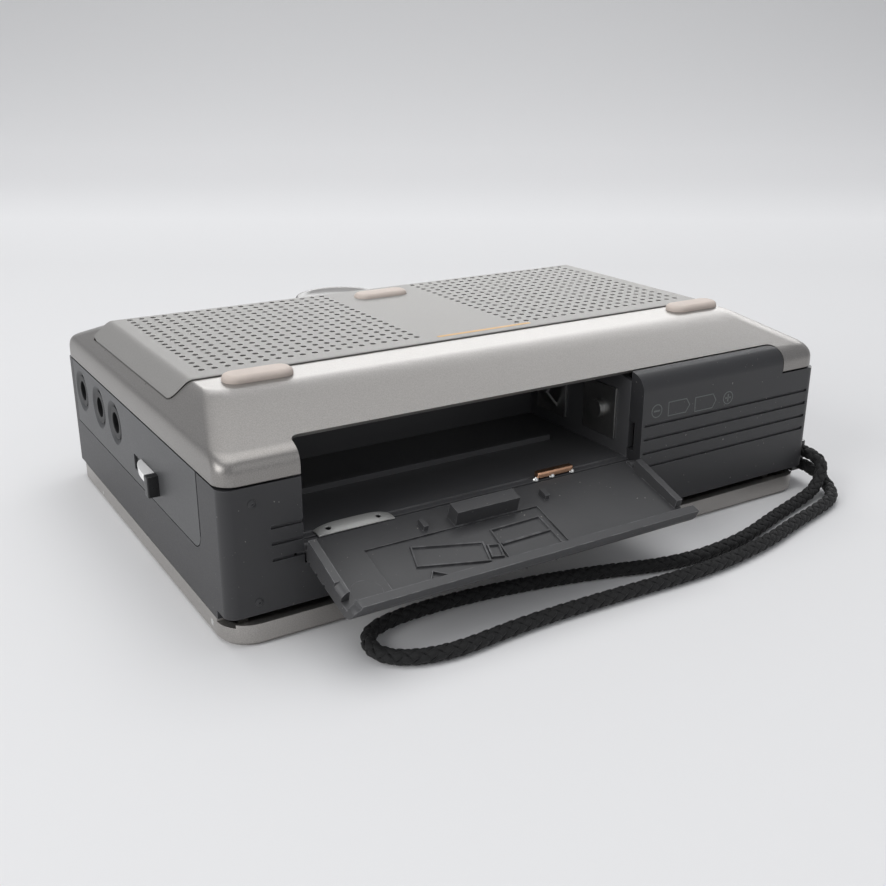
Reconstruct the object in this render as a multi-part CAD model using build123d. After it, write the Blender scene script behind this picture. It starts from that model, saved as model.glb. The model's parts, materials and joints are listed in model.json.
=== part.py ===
from build123d import *

import os
from math import acos, atan2, cos, degrees, hypot, radians, sin, tan

# Portable cassette recorder lying on its cassette lid, with the battery door open.
#
# Units are millimetres. The origin is the middle of the case's footprint, on the face
# of the cassette lid that it lies on. +Z is up, +X runs to the right along the case's
# length, and -Y is the long side with the battery door.

# Case: overall size and the levels where its shells meet
case_length = 115.0
case_depth = 80.0
case_height = 32.2
lid_height = 3.4
lid_seam = 0.1
hinge_side_gap = 1.5
hinge_side_gap_depth = 4.2
shell_seam = 24.1
band_top = 27.9
side_slope = 5.3
front_slope = 16.3
rear_slope = 11.5
case_corner = 2.8
frame_corner = 1.8
lid_corner = 5.0
front_ridge = 3.0
side_ridge = 1.5
shell_wall = 1.6
frame_wall = 1.8
fit_gap = 0.12
moving_gap = 0.3

# Battery bay and its door
bay_left = -45.7
bay_length = 61.5
bay_floor = 13.7
bay_depth = 31.0
box_wall = 1.2
box_floor = 0.8
box_clearance = 1.1
lip_depth = 4.0
lip_front = 2.7
lip_drop = 0.2
notch_depth = 3.3
notch_corner = 1.5
fairing_right = 48.8
sill_height = 11.0
door_axis_inset = 1.2
door_axis_height = 12.8
door_wall = 1.5
door_open_angle = 107.0
door_rib = 1.5
door_rib_width = 1.2
door_pin_radius = 0.9
door_pin_length = 1.4
tab_left = 35.2
tab_width = 11.3
tab_rise = 2.0
tab_low = 1.3
tab_high = 3.7
fin_places = (30.0, 52.2)
fin_width = 0.8
fin_rise = 0.9
panel_left = 19.8
panel_width = 30.3
panel_low = 3.9
panel_high = 11.6
panel_sink = 0.3
groove_width = 0.55
groove_depth = 0.35
groove_lowest = 12.6
groove_pitch = 2.45
left_groove_start = 7.0
cell_rib_height = 0.9
cell_rib_width = 1.2

# Cassette lid
lid_floor = 1.1
lid_wall = 1.4
lid_edge = 1.2
lid_axis_inset = 4.0
lid_axis_height = 8.0
lid_arm_width = 1.6
lid_arm_place = 53.4
lid_arm_radius = 2.0
lid_arm_front = 34.6
lid_arm_back = 30.6
lid_relief_back = 35.2
lid_relief_drop = 0.55
hinge_pin_radius = 0.9
hinge_pin_length = 5.0
running_gap = 0.05
window_length = 62.0
window_depth = 12.5
window_back = -1.5
window_sink = 0.2
window_ledge = 1.5
hook_place = 46.0
hook_width = 5.0
hook_thickness = 1.2
hook_top = 8.5
hook_clearance = 1.2
hook_rim = 1.1
hook_eye = 2.3
spring_place = 25.0
spring_row = -28.0
spring_length = 18.0
spring_width = 4.0
spring_bow = 1.5
spring_leaf = 0.3

# Speaker grille plate, felts, speakers and feet
plate_rise = 0.25
plate_thickness = 0.8
plate_front = -15.2
plate_back = 27.7
plate_side_inset = 2.1
plate_corner = 1.2
hole_size = 1.7
hole_columns = 5
hole_rows = 5
hole_pitch_x = 9.6
hole_pitch_y = 9.25
field_inner = 10.45
field_front = -11.2
speaker_place = 29.6
speaker_row = 7.5
speaker_radius = 17.0
speaker_window = 15.5
speaker_flange = 0.8
speaker_sides = 18
magnet_radius = 7.5
basket_radius = 12.0
magnet_height = 2.6
felt_thickness = 0.35
felt_margin = 1.3
foot_length = 11.2
foot_depth = 4.6
foot_rise = 1.1
left_foot = -42.5
right_foot = 46.4
front_foot_row = -18.3
rear_foot_place = 0.3
rear_foot_row = 21.5

# Left side: jack panel, jacks and slide switch
panel_thickness = 1.6
jack_panel_front = -31.2
jack_panel_back = 36.5
jack_panel_low = 12.0
jack_panel_corner = 3.0
jack_rows = {"dc_jack": 31.3, "earphone_jack": 19.9, "microphone_jack": 10.1}
jack_height = 19.1
jack_bore = 1.8
jack_sleeve = 2.9
jack_dish = 3.9
jack_dish_depth = 0.7
jack_body_length = 13.0
jack_body_width = 6.0
jack_end_wall = 0.9
switch_slot_front = -12.6
switch_slot_length = 12.4
switch_slot_height = 2.6
switch_height = 15.6
switch_travel = 6.0
knob_front = -13.0
knob_length = 5.6
knob_height = 4.4
knob_rise = 2.9
knob_stem = 2.4
slider_thickness = 1.0
switch_body_depth = 5.0
switch_body_wall = 0.9

# Keys on the rear side, their trough and the leaf spring behind them
key_names = ("record_key", "play_key", "rewind_key", "forward_key", "stop_eject_key", "pause_key")
key_pitch = 15.8
key_side_gap = 0.5
key_low = 15.7
key_high = 21.9
key_stand_out = 3.2
key_travel = 3.0
key_front_radius = 1.0
key_dish = 0.4
trough_floor = 15.4
trough_roof = 22.2
trough_depth = 3.8
trough_wall = 1.1
stem_width = 6.0
stem_thickness = 1.0
stem_reach = 9.0
spring_sheet = 0.3
spring_finger = 3.0
spring_base = 2.3

# Steel deck with the drive
deck_level = 14.5
deck_thickness = 0.8
deck_gap = 0.3
reel_place = 21.25
reel_row = -5.0
reel_radius = 7.0
reel_sides = 20
reel_disc_low = 11.9
reel_disc_thickness = 0.7
reel_hub_radius = 3.0
reel_hub_low = 4.0
reel_spline = 0.9
reel_spline_width = 1.2
spindle_radius = 1.0
spindle_low = 3.4
idler_radius = 13.8
idler_sides = 30
capstan_place = 31.0
capstan_row = 24.0
capstan_radius = 1.0
capstan_low = 3.0
flywheel_radius = 9.5
flywheel_low = 17.2
flywheel_thickness = 3.3
flywheel_web = 2.2
flywheel_rim = 2.6
flywheel_sides = 32
belt_size = 0.9
belt_height = 18.9
bush_radius = 3.0
bush_height = 2.3
bridge_level = 21.3
bridge_thickness = 0.8
bridge_width = 8.0
bridge_reach = 13.5
motor_gap = 5.3
motor_row = -20.0
motor_radius = 11.0
motor_clearance = 2.3
bracket_level = 20.6
bracket_thickness = 0.7
bracket_width = 15.0
bracket_reach = 12.2
pulley_radius = 2.6
pulley_height = 2.8
pulley_sides = 18
motor_shaft_radius = 0.75
motor_sides = 24
shaft_depth = 2.5

# Head plate with the heads and the pinch roller
head_plate_level = 13.6
head_plate_thickness = 0.7
head_plate_left = -44.0
head_plate_right = 47.5
head_plate_front = 29.9
head_plate_back = 37.4
guide_places = (-36.0, 16.0)
guide_row = 32.4
guide_radius = 1.0
guide_head_radius = 1.9
guide_head_height = 0.5
play_head_width = 12.0
play_head_row = 31.2
erase_head_place = -13.5
erase_head_width = 6.5
head_depth = 5.4
head_low = 3.5
head_high = 12.0
roller_row = 32.8
roller_radius = 4.5
roller_low = 3.9
roller_height = 7.0
roller_sides = 30
roller_pin_radius = 0.8
arm_thickness = 0.8
arm_radius = 2.4
arm_pivot_place = 43.5
arm_pivot_row = 33.6

# Circuit board, volume control and small parts
board_level = 22.5
board_thickness = 1.2
board_half_length = 52.4
board_front = -6.6
board_back = 34.2
standoff_places = ((-35.0, -3.0), (-35.0, 20.0), (50.3, -3.0), (50.3, 6.0))
standoff_radius = 1.5
chip_places = ((-22.0, 12.0), (2.0, 4.0), (-22.0, -1.5))
chip_size = (9.0, 6.5, 1.6)
capacitor_places = ((-12.0, 20.0), (-6.0, 20.0), (2.0, 22.0), (-30.0, 26.0), (11.0, 22.0))
capacitor_radius = 2.4
capacitor_height = 4.6
dial_place = -2.8
dial_row = 34.0
dial_radius = 9.0
dial_drop = 4.2
dial_thickness = 2.4
dial_gap = 0.45
dial_teeth = 18
dial_tooth = 0.5
dial_rim = 2.2
dial_recess = 0.4
dial_hub = 1.2
pot_width = 8.0
pot_clearance = 1.0
pot_shaft_radius = 1.5
capsule_radius = 3.0
capsule_length = 2.9
capsule_row = 20.0
capsule_height = 19.0
capsule_hole = 0.6

# Screws and their posts
post_radius = 2.0
front_post = (53.8, -34.5)
rear_post = (53.6, 36.3)
screw_radius = 0.8
screw_clearance = 3.6
screw_head_radius = 1.5
screw_head_height = 0.9

# Steel latch strip and the copper contact at the edge of the bay floor
strip_left = 14.9
strip_length = 12.4
strip_front = 1.8
strip_depth = 2.2
strip_thickness = 0.3
strip_notch = 0.9
copper_left = 54.2
copper_length = 6.7
copper_depth = 1.4
copper_thickness = 0.6
contact_sheet = 0.35
contact_width = 8.4
contact_height = 9.0
contact_lift = 2.2
contact_bridge = 2.5
leaf_margin = 1.4
leaf_reach = 2.6

# Wrist strap and the lug that holds it
cord_diameter = 2.4
lug_front = -37.4
lug_depth = 4.6
lug_width = 3.4
lug_low = 2.5
lug_high = 8.2
lug_axis = 59.5
lug_exits = (3.9, 6.6)
floor_height = cord_diameter / 2 + 0.05
strap_route = (
    (59.5, -40.6, 3.9),
    (59.9, -44.2, 1.7),
    (56.6, -48.2, floor_height),
    (50.5, -50.2, floor_height),
    (42.0, -52.2, floor_height),
    (31.0, -55.4, floor_height),
    (16.0, -57.4, floor_height),
    (-2.0, -56.4, floor_height),
    (-19.0, -56.0, floor_height),
    (-33.5, -57.4, floor_height),
    (-41.4, -53.6, floor_height),
    (-40.4, -46.4, floor_height),
    (-31.5, -44.4, floor_height),
    (-17.0, -45.4, floor_height),
    (-1.0, -48.6, floor_height),
    (13.5, -53.4, floor_height),
    (28.0, -52.6, floor_height),
    (40.5, -48.6, floor_height),
    (49.2, -46.2, floor_height),
    (55.4, -44.9, 1.9),
    (59.0, -43.4, 5.4),
    (59.5, -40.4, 6.6),
)

# Places worked out from the sizes above
left = -case_length / 2
right = case_length / 2
front = -case_depth / 2
rear = case_depth / 2
bay_right = bay_left + bay_length
bay_back = front + bay_depth
door_axis = (front + door_axis_inset, door_axis_height)
door_left = bay_left + moving_gap
door_right = bay_right - moving_gap
lid_axis = (front + lid_axis_inset, lid_axis_height)
frame_low = lid_height + lid_seam
deck_top = deck_level + deck_thickness
deck_back = rear - trough_depth - trough_wall - deck_gap
trough_half = len(key_names) * key_pitch / 2 + 0.3
trough_back = rear - trough_depth
board_top = board_level + board_thickness
roof = case_height - shell_wall
motor_place = bay_right + box_wall + motor_gap + bracket_reach
motor_top = roof - motor_clearance
dial_low = case_height - dial_drop
pot_top = dial_low - pot_clearance
box_top = roof - box_clearance
screw_tip = roof - screw_clearance
groove_rows = [groove_lowest + k * groove_pitch for k in range(4)]
flywheel_top = flywheel_low + flywheel_thickness
belt_radius_wheel = flywheel_radius - 0.5
belt_radius_pulley = pulley_radius - 0.35
reel_disc_top = reel_disc_low + reel_disc_thickness
bracket_top = bracket_level + bracket_thickness


def block(x0, x1, y0, y1, z0, z1):
    """A box between two opposite corners."""
    return Pos((x0 + x1) / 2, (y0 + y1) / 2, (z0 + z1) / 2) * Box(x1 - x0, y1 - y0, z1 - z0)


def post(x, y, radius, z0, z1):
    """An upright cylinder between two heights."""
    return Pos(x, y, (z0 + z1) / 2) * Cylinder(radius, z1 - z0)


def prism(x, y, radius, z0, z1, sides=8):
    """An upright prism between two heights, for small round things that repeat."""
    return extrude(Pos(x, y, z0) * RegularPolygon(radius, sides), z1 - z0)


def bar_along_x(y, z, radius, x0, x1):
    """A round bar lying along X."""
    return Pos((x0 + x1) / 2, y, z) * Rot(0, 90, 0) * Cylinder(radius, x1 - x0)


def face_of(points):
    """A flat face with straight edges through the points."""
    return make_face(Polyline(*points, close=True))


def run_along_x(face, x0, x1):
    """A profile drawn in Y and Z, run along X."""
    return Pos(x0, 0, 0) * extrude(Plane.YZ * face, x1 - x0)


def rounded_block(x0, x1, y0, y1, z0, z1, radius):
    """A box whose four upright edges are rounded."""
    plan = Pos((x0 + x1) / 2, (y0 + y1) / 2, z0) * RectangleRounded(x1 - x0, y1 - y0, radius)
    return extrude(plan, z1 - z0)


def shoulder_face(half_low, half_high, slope_low, slope_high, radius, grow):
    """The case's section above the seam: upright bands, two slopes and a flat top."""
    points = [
        (half_low, 0),
        (half_high, 0),
        (half_high, band_top),
        (half_high - slope_high, case_height),
        (half_low + slope_low, case_height),
        (half_low, band_top),
    ]
    face = face_of(points)
    if grow < 0:
        return offset(face, grow, kind=Kind.INTERSECTION)
    face = fillet([v for v in face.vertices() if v.Y > shell_seam], radius)
    if grow > 0:
        face = offset(face, grow, kind=Kind.INTERSECTION)
    return face


def side_face(grow):
    """The case's section seen from its end, in Y and Z."""
    return shoulder_face(front, rear, front_slope, rear_slope, front_ridge, grow)


def end_face(grow):
    """The case's section seen from the front, in X and Z."""
    return shoulder_face(left, right, side_slope, side_slope, side_ridge, grow)


def case_form(grow, low):
    """The upper case's form above the height low, grown or shrunk all over."""
    plan = Rectangle(case_length + 2 * grow, case_depth + 2 * grow)
    if grow >= 0:
        plan = RectangleRounded(case_length + 2 * grow, case_depth + 2 * grow, case_corner + grow)
    body = extrude(Pos(0, 0, low) * plan, case_height + grow - low + 1)
    body = body & extrude(Plane.XZ * end_face(grow), case_depth, both=True)
    return body & extrude(Plane.YZ * side_face(grow), case_length, both=True)


def notch_form(inset):
    """The cut in the shell's front over the battery bay and the fairing."""
    width = fairing_right - bay_left - 2 * inset
    depth = 2 * notch_depth + 4 * notch_corner
    centre = (fairing_right + bay_left) / 2
    plan = RectangleRounded(width, depth, notch_corner)
    plan = Pos(centre, front + notch_depth - inset - depth / 2, shell_seam - 6) * plan
    return extrude(plan, case_height)


def plate_form(grow):
    """The bent grille plate, grown by a clearance to cut its recess."""
    outer = end_face(plate_rise)
    inner = end_face(plate_rise - plate_thickness - grow)
    if grow:
        outer = end_face(plate_rise + 1)
    depth = plate_back - plate_front + 2 * grow
    bend = extrude(Plane.XZ * (outer - inner), -depth)
    bend = Pos(0, plate_front - grow, 0) * bend
    width = case_length - 2 * plate_side_inset + 2 * grow
    middle = (plate_front + plate_back) / 2
    trim = Pos(0, middle, band_top) * RectangleRounded(width, depth, plate_corner + grow)
    return bend & extrude(trim, case_height)


def top_shell():
    """Silver upper shell with the front notch, the plate recess and the screw bosses."""
    shell = case_form(0, shell_seam) - case_form(-shell_wall, shell_seam - 5)
    shell = shell - notch_form(0)
    shell = shell - plate_form(fit_gap)
    for side in (-1, 1):
        shell = shell - felt(side, fit_gap)
        window = prism(side * speaker_place, speaker_row, speaker_window, roof - 1, case_height,
                       speaker_sides)
        shell = shell - window
    slot = post(dial_place, dial_row, dial_radius + dial_gap, pot_top - moving_gap,
                dial_low + dial_thickness + dial_gap)
    shell = shell - slot
    for x, y in (front_post, rear_post):
        for side in (-1, 1):
            boss = prism(side * x, y, post_radius, shell_seam, case_height)
            shell = shell + (boss & case_form(-shell_wall / 2, shell_seam))
            shell = shell - prism(side * x, y, screw_radius + running_gap, shell_seam - 1,
                                  screw_tip + running_gap)
    return shell


def felt(side, grow):
    """A sheet of black felt under one field of holes."""
    half_x = (hole_columns - 1) * hole_pitch_x / 2 + felt_margin + grow
    half_y = (hole_rows - 1) * hole_pitch_y / 2 + felt_margin + grow
    x = side * (field_inner + (hole_columns - 1) * hole_pitch_x / 2)
    y = field_front + (hole_rows - 1) * hole_pitch_y / 2
    top = case_height + plate_rise - plate_thickness
    low = top - felt_thickness - grow
    return block(x - half_x, x + half_x, y - half_y, y + half_y, low, top)


def felts():
    """Both sheets of felt."""
    return [felt(-1, 0), felt(1, 0)]


def speaker_grille():
    """Thin plate over the speakers, bent down both side slopes, with a field of holes on each side."""
    holes = Sketch()
    hole = Rectangle(hole_size, hole_size)
    for side in (-1, 1):
        for column in range(hole_columns):
            x = side * (field_inner + column * hole_pitch_x)
            for row in range(hole_rows):
                holes += Pos(x, field_front + row * hole_pitch_y) * hole
    drill = extrude(Pos(0, 0, roof) * holes, shell_wall + 2 * plate_rise)
    return plate_form(0) - drill


def speaker(side):
    """A small loudspeaker: magnet pot, stepped basket and a flange with its cone."""
    low = board_top + moving_gap
    middle = low + magnet_height
    flange_low = roof - speaker_flange
    x = side * speaker_place
    pot = prism(x, speaker_row, magnet_radius, low, middle, speaker_sides)
    basket = prism(x, speaker_row, basket_radius, middle - 0.8, flange_low, speaker_sides)
    flange = prism(x, speaker_row, speaker_radius, flange_low, roof, speaker_sides)
    dish_low = flange_low + speaker_flange / 3
    cone = prism(x, speaker_row, speaker_window - 1, dish_low, roof + 1, speaker_sides)
    return pot + basket + flange - cone


def rubber_feet():
    """Three pill-shaped feet that the back of the recorder stands on."""
    feet = []
    plate_top = case_height + plate_rise
    places = ((left_foot, front_foot_row, case_height), (right_foot, front_foot_row, case_height),
              (rear_foot_place, rear_foot_row, plate_top))
    for x, y, z in places:
        plan = RectangleRounded(foot_length, foot_depth, foot_depth / 2 - 0.1)
        foot = extrude(Pos(x, y, z) * plan, case_height + foot_rise - z)
        feet.append(foot)
    return feet


def fairing():
    """The front wall right of the bay, carried up and over into the shell's notch."""
    wall = case_form(0, shell_seam - 4) - case_form(-door_wall, shell_seam - 6)
    wall = wall & notch_form(fit_gap)
    wall = wall & block(bay_right, fairing_right, front - 1, rear, 0, case_height)
    end = case_form(0, shell_seam - 4) & notch_form(fit_gap)
    return wall + (end & block(bay_right, bay_right + door_wall, front - 1, rear, 0, case_height))


def trough_forms():
    """Outer form of the key trough and the hollow in it."""
    outer = block(-trough_half - trough_wall, trough_half + trough_wall, trough_back - trough_wall,
                  rear, trough_floor - trough_wall + deck_gap, trough_roof + trough_wall)
    inner = block(-trough_half, trough_half, trough_back, rear + 1, trough_floor, trough_roof)
    return outer, inner


def key_trough():
    """Trough that the keys stand in, set in the frame's rear wall, with a slot for each stem."""
    outer, inner = trough_forms()
    trough = outer - inner
    for k in range(len(key_names)):
        x = key_x(k)
        half = stem_width / 2 + fit_gap
        trough = trough - block(x - half, x + half, trough_back - 2 * trough_wall, rear - 1, key_low - 0.2,
                                key_low + stem_thickness + 0.2)
    return trough


def mid_frame():
    """Dark middle frame: a ring of walls with the bay's opening, the fairing and the keys' opening."""
    outer = Pos(0, 0, frame_low) * RectangleRounded(case_length, case_depth, frame_corner)
    inner = Pos(0, 0, frame_low - 1) * Rectangle(case_length - 2 * frame_wall, case_depth - 2 * frame_wall)
    frame = extrude(outer, shell_seam - frame_low) - extrude(inner, case_height)
    gap_top = lid_height + hinge_side_gap
    frame = frame - block(left - 1, right + 1, front - 1, front + hinge_side_gap_depth, 0, gap_top)
    frame = frame + fairing()
    boss_size = door_pin_length + 0.9
    boss_back = door_axis[0] + door_pin_radius + 1.2
    for x0, x1 in ((bay_left - boss_size, bay_left), (bay_right, bay_right + boss_size)):
        frame = frame + block(x0, x1, front, boss_back, sill_height - 1, bay_floor + 1.5)
    frame = frame - block(bay_left, bay_right, front - 1, front + bay_depth, sill_height, case_height)
    pin_hole = bar_along_x(*door_axis, door_pin_radius + running_gap, bay_left - door_pin_length,
                           bay_right + door_pin_length)
    frame = frame - pin_hole
    ledge = face_of(
        [
            (front + frame_wall / 2, sill_height - 1.2),
            (front + lip_depth + 0.4, sill_height - 1.2),
            (front + lip_depth + 0.4, bay_floor - box_floor),
            (front + lip_front, bay_floor - box_floor),
            (front + lip_front, sill_height),
            (front + frame_wall / 2, sill_height),
        ]
    )
    frame = frame + run_along_x(ledge, bay_left + 1, bay_right - 1)
    frame = frame - trough_forms()[0]
    inner_face = right - frame_wall
    for side, start in ((-1, jack_rows["microphone_jack"]), (1, motor_row)):
        shelf = block(inner_face - 1.2, inner_face + 0.6, start, deck_back - 2, deck_level - 5.5, deck_level)
        if side < 0:
            shelf = block(-inner_face - 0.6, -inner_face + 1.2, start, deck_back - 2, deck_level - 5.5,
                          deck_level)
        frame = frame + shelf
    for x, y in (front_post, rear_post):
        for side in (-1, 1):
            low = deck_level if side < 0 and y < 0 else deck_top
            frame = frame + prism(side * x, y, post_radius, low, shell_seam)
            frame = frame - prism(side * x, y, screw_radius + running_gap, low - 1, shell_seam + 1)
    frame = frame - panel_outline(fit_gap, left - 1, left + frame_wall + 0.1)
    for side in (-1, 1):
        depth = hinge_pin_length / 2 + running_gap
        hole = bar_along_x(*lid_axis, hinge_pin_radius + running_gap, -depth, depth)
        frame = frame - Pos(side * (lid_arm_place + 0.7), 0, 0) * hole
    frame = frame - block(inner_face - 1, right + 1, capsule_row - capsule_hole, capsule_row + capsule_hole,
                          capsule_height - capsule_hole, capsule_height + capsule_hole)
    for z in groove_rows[:3]:
        frame = frame - block(left + left_groove_start, bay_left, front - 1, front + groove_depth,
                              z - groove_width / 2, z + groove_width / 2)
    for z in groove_rows:
        frame = frame - block(bay_right + 0.6, right - 1.8, front - 1, front + groove_depth,
                              z - groove_width / 2, z + groove_width / 2)
    return frame


def panel_outline(grow, x0, x1):
    """The jack panel's outline, with its rounded lower front corner, run along X."""
    y0 = jack_panel_front - grow
    y1 = jack_panel_back + grow
    z0 = jack_panel_low - grow
    face = face_of([(y0, z0), (y1, z0), (y1, shell_seam), (y0, shell_seam)])
    corner = face.vertices().sort_by_distance((y0, z0, 0))[0]
    return run_along_x(fillet(corner, jack_panel_corner), x0, x1)


def jack_panel():
    """Side plate with three dished jack holes and the switch's slot."""
    panel = panel_outline(0, left, left + panel_thickness)
    for y in jack_rows.values():
        panel = panel - bar_along_x(y, jack_height, jack_sleeve + fit_gap, left - 1, left + 3)
        dish = Cone(jack_dish, jack_sleeve + fit_gap, jack_dish_depth)
        panel = panel - Pos(left + jack_dish_depth / 2, y, jack_height) * Rot(0, 90, 0) * dish
    y0 = switch_slot_front
    y1 = y0 + switch_slot_length
    half = switch_slot_height / 2
    return panel - block(left - 1, left + 3, y0, y1, switch_height - half, switch_height + half)


def jack(row):
    """A jack: square body under the board with a round sleeve through the panel."""
    back = left + panel_thickness + jack_body_length
    half = jack_body_width / 2
    body = block(left + panel_thickness, back, row - half, row + half, jack_height - half, board_level)
    body = body + bar_along_x(row, jack_height, jack_sleeve, left + 0.2, left + panel_thickness + 1)
    return body - bar_along_x(row, jack_height, jack_bore, left - 1, back - jack_end_wall)


def slider_span():
    """Front and back of the slider plate at rest."""
    return switch_slot_front - 0.8, switch_slot_front + switch_slot_length - 0.2


def slide_switch_body():
    """Switch body behind the panel with a channel for its slider."""
    y0, y1 = slider_span()
    y1 += switch_travel
    x0 = left + panel_thickness
    half = switch_slot_height / 2 + 0.2
    wall = switch_body_wall
    body = block(x0, x0 + switch_body_depth, y0 - wall, y1 + wall, switch_height - half - wall,
                 switch_height + half + wall)
    channel = block(x0 - 1, x0 + slider_thickness + 0.4, y0 - moving_gap, y1 + moving_gap,
                    switch_height - half, switch_height + half)
    return body - channel


def slide_switch_knob():
    """Thumb piece, its stem through the slot and the slider plate behind the panel."""
    y0, y1 = slider_span()
    x0 = left + panel_thickness + 0.2
    half = switch_slot_height / 2
    middle = knob_front + knob_length / 2
    slider = block(x0, x0 + slider_thickness, y0, y1, switch_height - half, switch_height + half)
    stem = block(left - 1, x0 + 0.5, middle - knob_stem / 2, middle + knob_stem / 2, switch_height - 0.9,
                 switch_height + 0.9)
    knob = block(left - knob_rise, left - 0.15, knob_front, knob_front + knob_length,
                 switch_height - knob_height / 2, switch_height + knob_height / 2)
    knob = chamfer(knob.edges().group_by(Axis.X)[0], 0.5)
    for k in (-1, 0, 1):
        knob = knob - block(left - knob_rise - 1, left - knob_rise + 0.35, middle + k * 1.4 - 0.25,
                            middle + k * 1.4 + 0.25, 0, case_height)
    return slider + stem + knob


def battery_box():
    """Open tray for two cells, shaped to the underside of the shell."""
    low = bay_floor - box_floor
    tray = case_form(-shell_wall - 0.2, low)
    tray = tray & block(bay_left - box_wall, bay_right + box_wall, front + lip_front, bay_back + box_wall,
                        low, box_top)
    tray = tray - block(bay_left, bay_right, front, bay_back, bay_floor, case_height)
    tray = tray - block(bay_left, bay_right, front, front + lip_depth, bay_floor - lip_drop, case_height)
    middle = (front + lip_depth + bay_back) / 2
    rib = block(bay_left + 6, bay_right - 6, middle - cell_rib_width / 2, middle + cell_rib_width / 2,
                bay_floor - 0.1, bay_floor + cell_rib_height)
    tray = tray + rib
    inset = door_pin_length + 0.9 + fit_gap
    clear = door_axis[0] + door_pin_radius + 1.2 + fit_gap
    for x0, x1 in ((bay_left - inset, bay_left), (bay_right, bay_right + inset)):
        tray = tray - block(x0, x1, front, clear, 0, bay_floor + 1.5 + fit_gap)
    end_wall_back = front + notch_depth
    return tray - block(bay_right, bay_right + door_wall + fit_gap, front, end_wall_back, 0, case_height)


def door_plan():
    """The door's section when shut, in Y and Z: it follows the case's front and ridge."""
    skin = side_face(0) - side_face(-door_wall)
    y_back = front + notch_depth - fit_gap - 0.1
    keep = Pos((front + y_back) / 2, (door_axis[1] + case_height) / 2) * Rectangle(
        y_back - front, case_height - door_axis[1]
    )
    knuckle = Pos(*door_axis) * Circle(door_axis_inset)
    trim = Pos(door_axis[0] - door_axis_inset + door_wall / 2, door_axis[1]) * Rectangle(
        door_wall, 2 * door_axis_inset
    )
    return (skin & keep) + (knuckle & trim)


def battery_door():
    """Battery door with its curved lip, end ribs, tab, fins, sunk panel, grooves and pins, drawn shut."""
    door = run_along_x(door_plan(), door_left, door_right)
    inner_skin = side_face(-door_wall + 0.1) - side_face(-door_wall - door_rib)
    y_back = front + notch_depth - fit_gap - 0.1
    z_low = door_axis[1] + tab_low
    z_high = band_top - front_ridge
    keep = Pos((front + y_back) / 2, (z_low + z_high) / 2) * Rectangle(y_back - front, z_high - z_low)
    rib = inner_skin & keep
    door = door + run_along_x(rib, door_left, door_left + door_rib_width)
    door = door + run_along_x(rib, door_right - door_rib_width, door_right)
    inner = front + door_wall
    axis_z = door_axis[1]
    door = door + block(left + tab_left, left + tab_left + tab_width, inner - 0.2, inner + tab_rise,
                        axis_z + tab_low, axis_z + tab_high)
    for place in fin_places:
        door = door + block(left + place, left + place + fin_width, inner - 0.2, inner + fin_rise,
                            axis_z + tab_low, axis_z + tab_high - 0.6)
    door = door - block(left + panel_left, left + panel_left + panel_width, inner - panel_sink, inner + 3,
                        axis_z + panel_low, axis_z + panel_high)
    for z in groove_rows[1:]:
        door = door - block(left, right, front - 1, front + groove_depth, z - groove_width / 2,
                            z + groove_width / 2)
    shoulder = block(door_left - 1, door_right + 1, front - 1, front + notch_depth + 1,
                     shell_seam - notch_corner, case_height)
    door = door - (shoulder - notch_form(fit_gap + 0.1))
    pin = bar_along_x(*door_axis, door_pin_radius, door_left - door_pin_length + 0.1,
                      door_right + door_pin_length - 0.1)
    pin = pin - block(door_left + 1, door_right - 1, front - 5, 0, 0, case_height)
    return door + pin


def battery_door_open():
    """The door swung down about its pins, as it rests."""
    hinge = Axis((0, *door_axis), (1, 0, 0))
    return battery_door().rotate(hinge, door_open_angle)


def latch_strip():
    """Flat steel strip with round ends and a notch, at the edge of the bay floor."""
    plan = Rectangle(strip_length, strip_depth)
    plan = chamfer(plan.vertices(), strip_depth / 3)
    notch = Pos(strip_length * 0.13, strip_depth / 2) * Circle(strip_notch)
    x = left + strip_left + strip_length / 2
    y = front + strip_front + strip_depth / 2
    return extrude(Pos(x, y, bay_floor - lip_drop) * (plan - notch), strip_thickness)


def copper_contact():
    """Copper bar on two small rivets, at the edge of the bay floor."""
    z = bay_floor - lip_drop
    x0 = left + copper_left
    y0 = front + lip_front + 0.05
    bar = block(x0, x0 + copper_length, y0, y0 + copper_depth, z + 0.3, z + 0.3 + copper_thickness)
    bar = chamfer(bar.edges().filter_by(Axis.X).group_by(Axis.Z)[-1], copper_thickness / 3)
    for x in (x0 + 1.2, x0 + copper_length - 1.2):
        bar = bar + prism(x, y0 + copper_depth / 2, 0.5, z, z + 0.5)
    return bar


def cell_rows():
    """Where the axes of the two cells lie in Y."""
    step = (bay_back - front - lip_depth) / 4
    return front + lip_depth + step, front + lip_depth + 3 * step


def contact_plate(x0, x1, row):
    """A square contact plate that stands against an end wall."""
    half = contact_width / 2
    return block(x0, x1, row - half, row + half, bay_floor + contact_lift,
                 bay_floor + contact_lift + contact_height)


def contact_leaf(x_wall, direction, row):
    """A bent leaf that pushes on a cell's flat end."""
    z0 = bay_floor + contact_lift + leaf_margin
    z1 = bay_floor + contact_lift + contact_height - leaf_margin
    reach = leaf_reach
    sheet = contact_sheet
    line = [
        (x_wall, z0),
        (x_wall + direction * reach, (z0 + z1) / 2),
        (x_wall, z1),
        (x_wall, z1 - 1.6 * sheet),
        (x_wall + direction * (reach - 1.4 * sheet), (z0 + z1) / 2),
        (x_wall, z0 + 1.6 * sheet),
    ]
    leaf = extrude(Plane.XZ * face_of(line), contact_width * 0.2, both=True)
    return Pos(0, row, 0) * leaf


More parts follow.
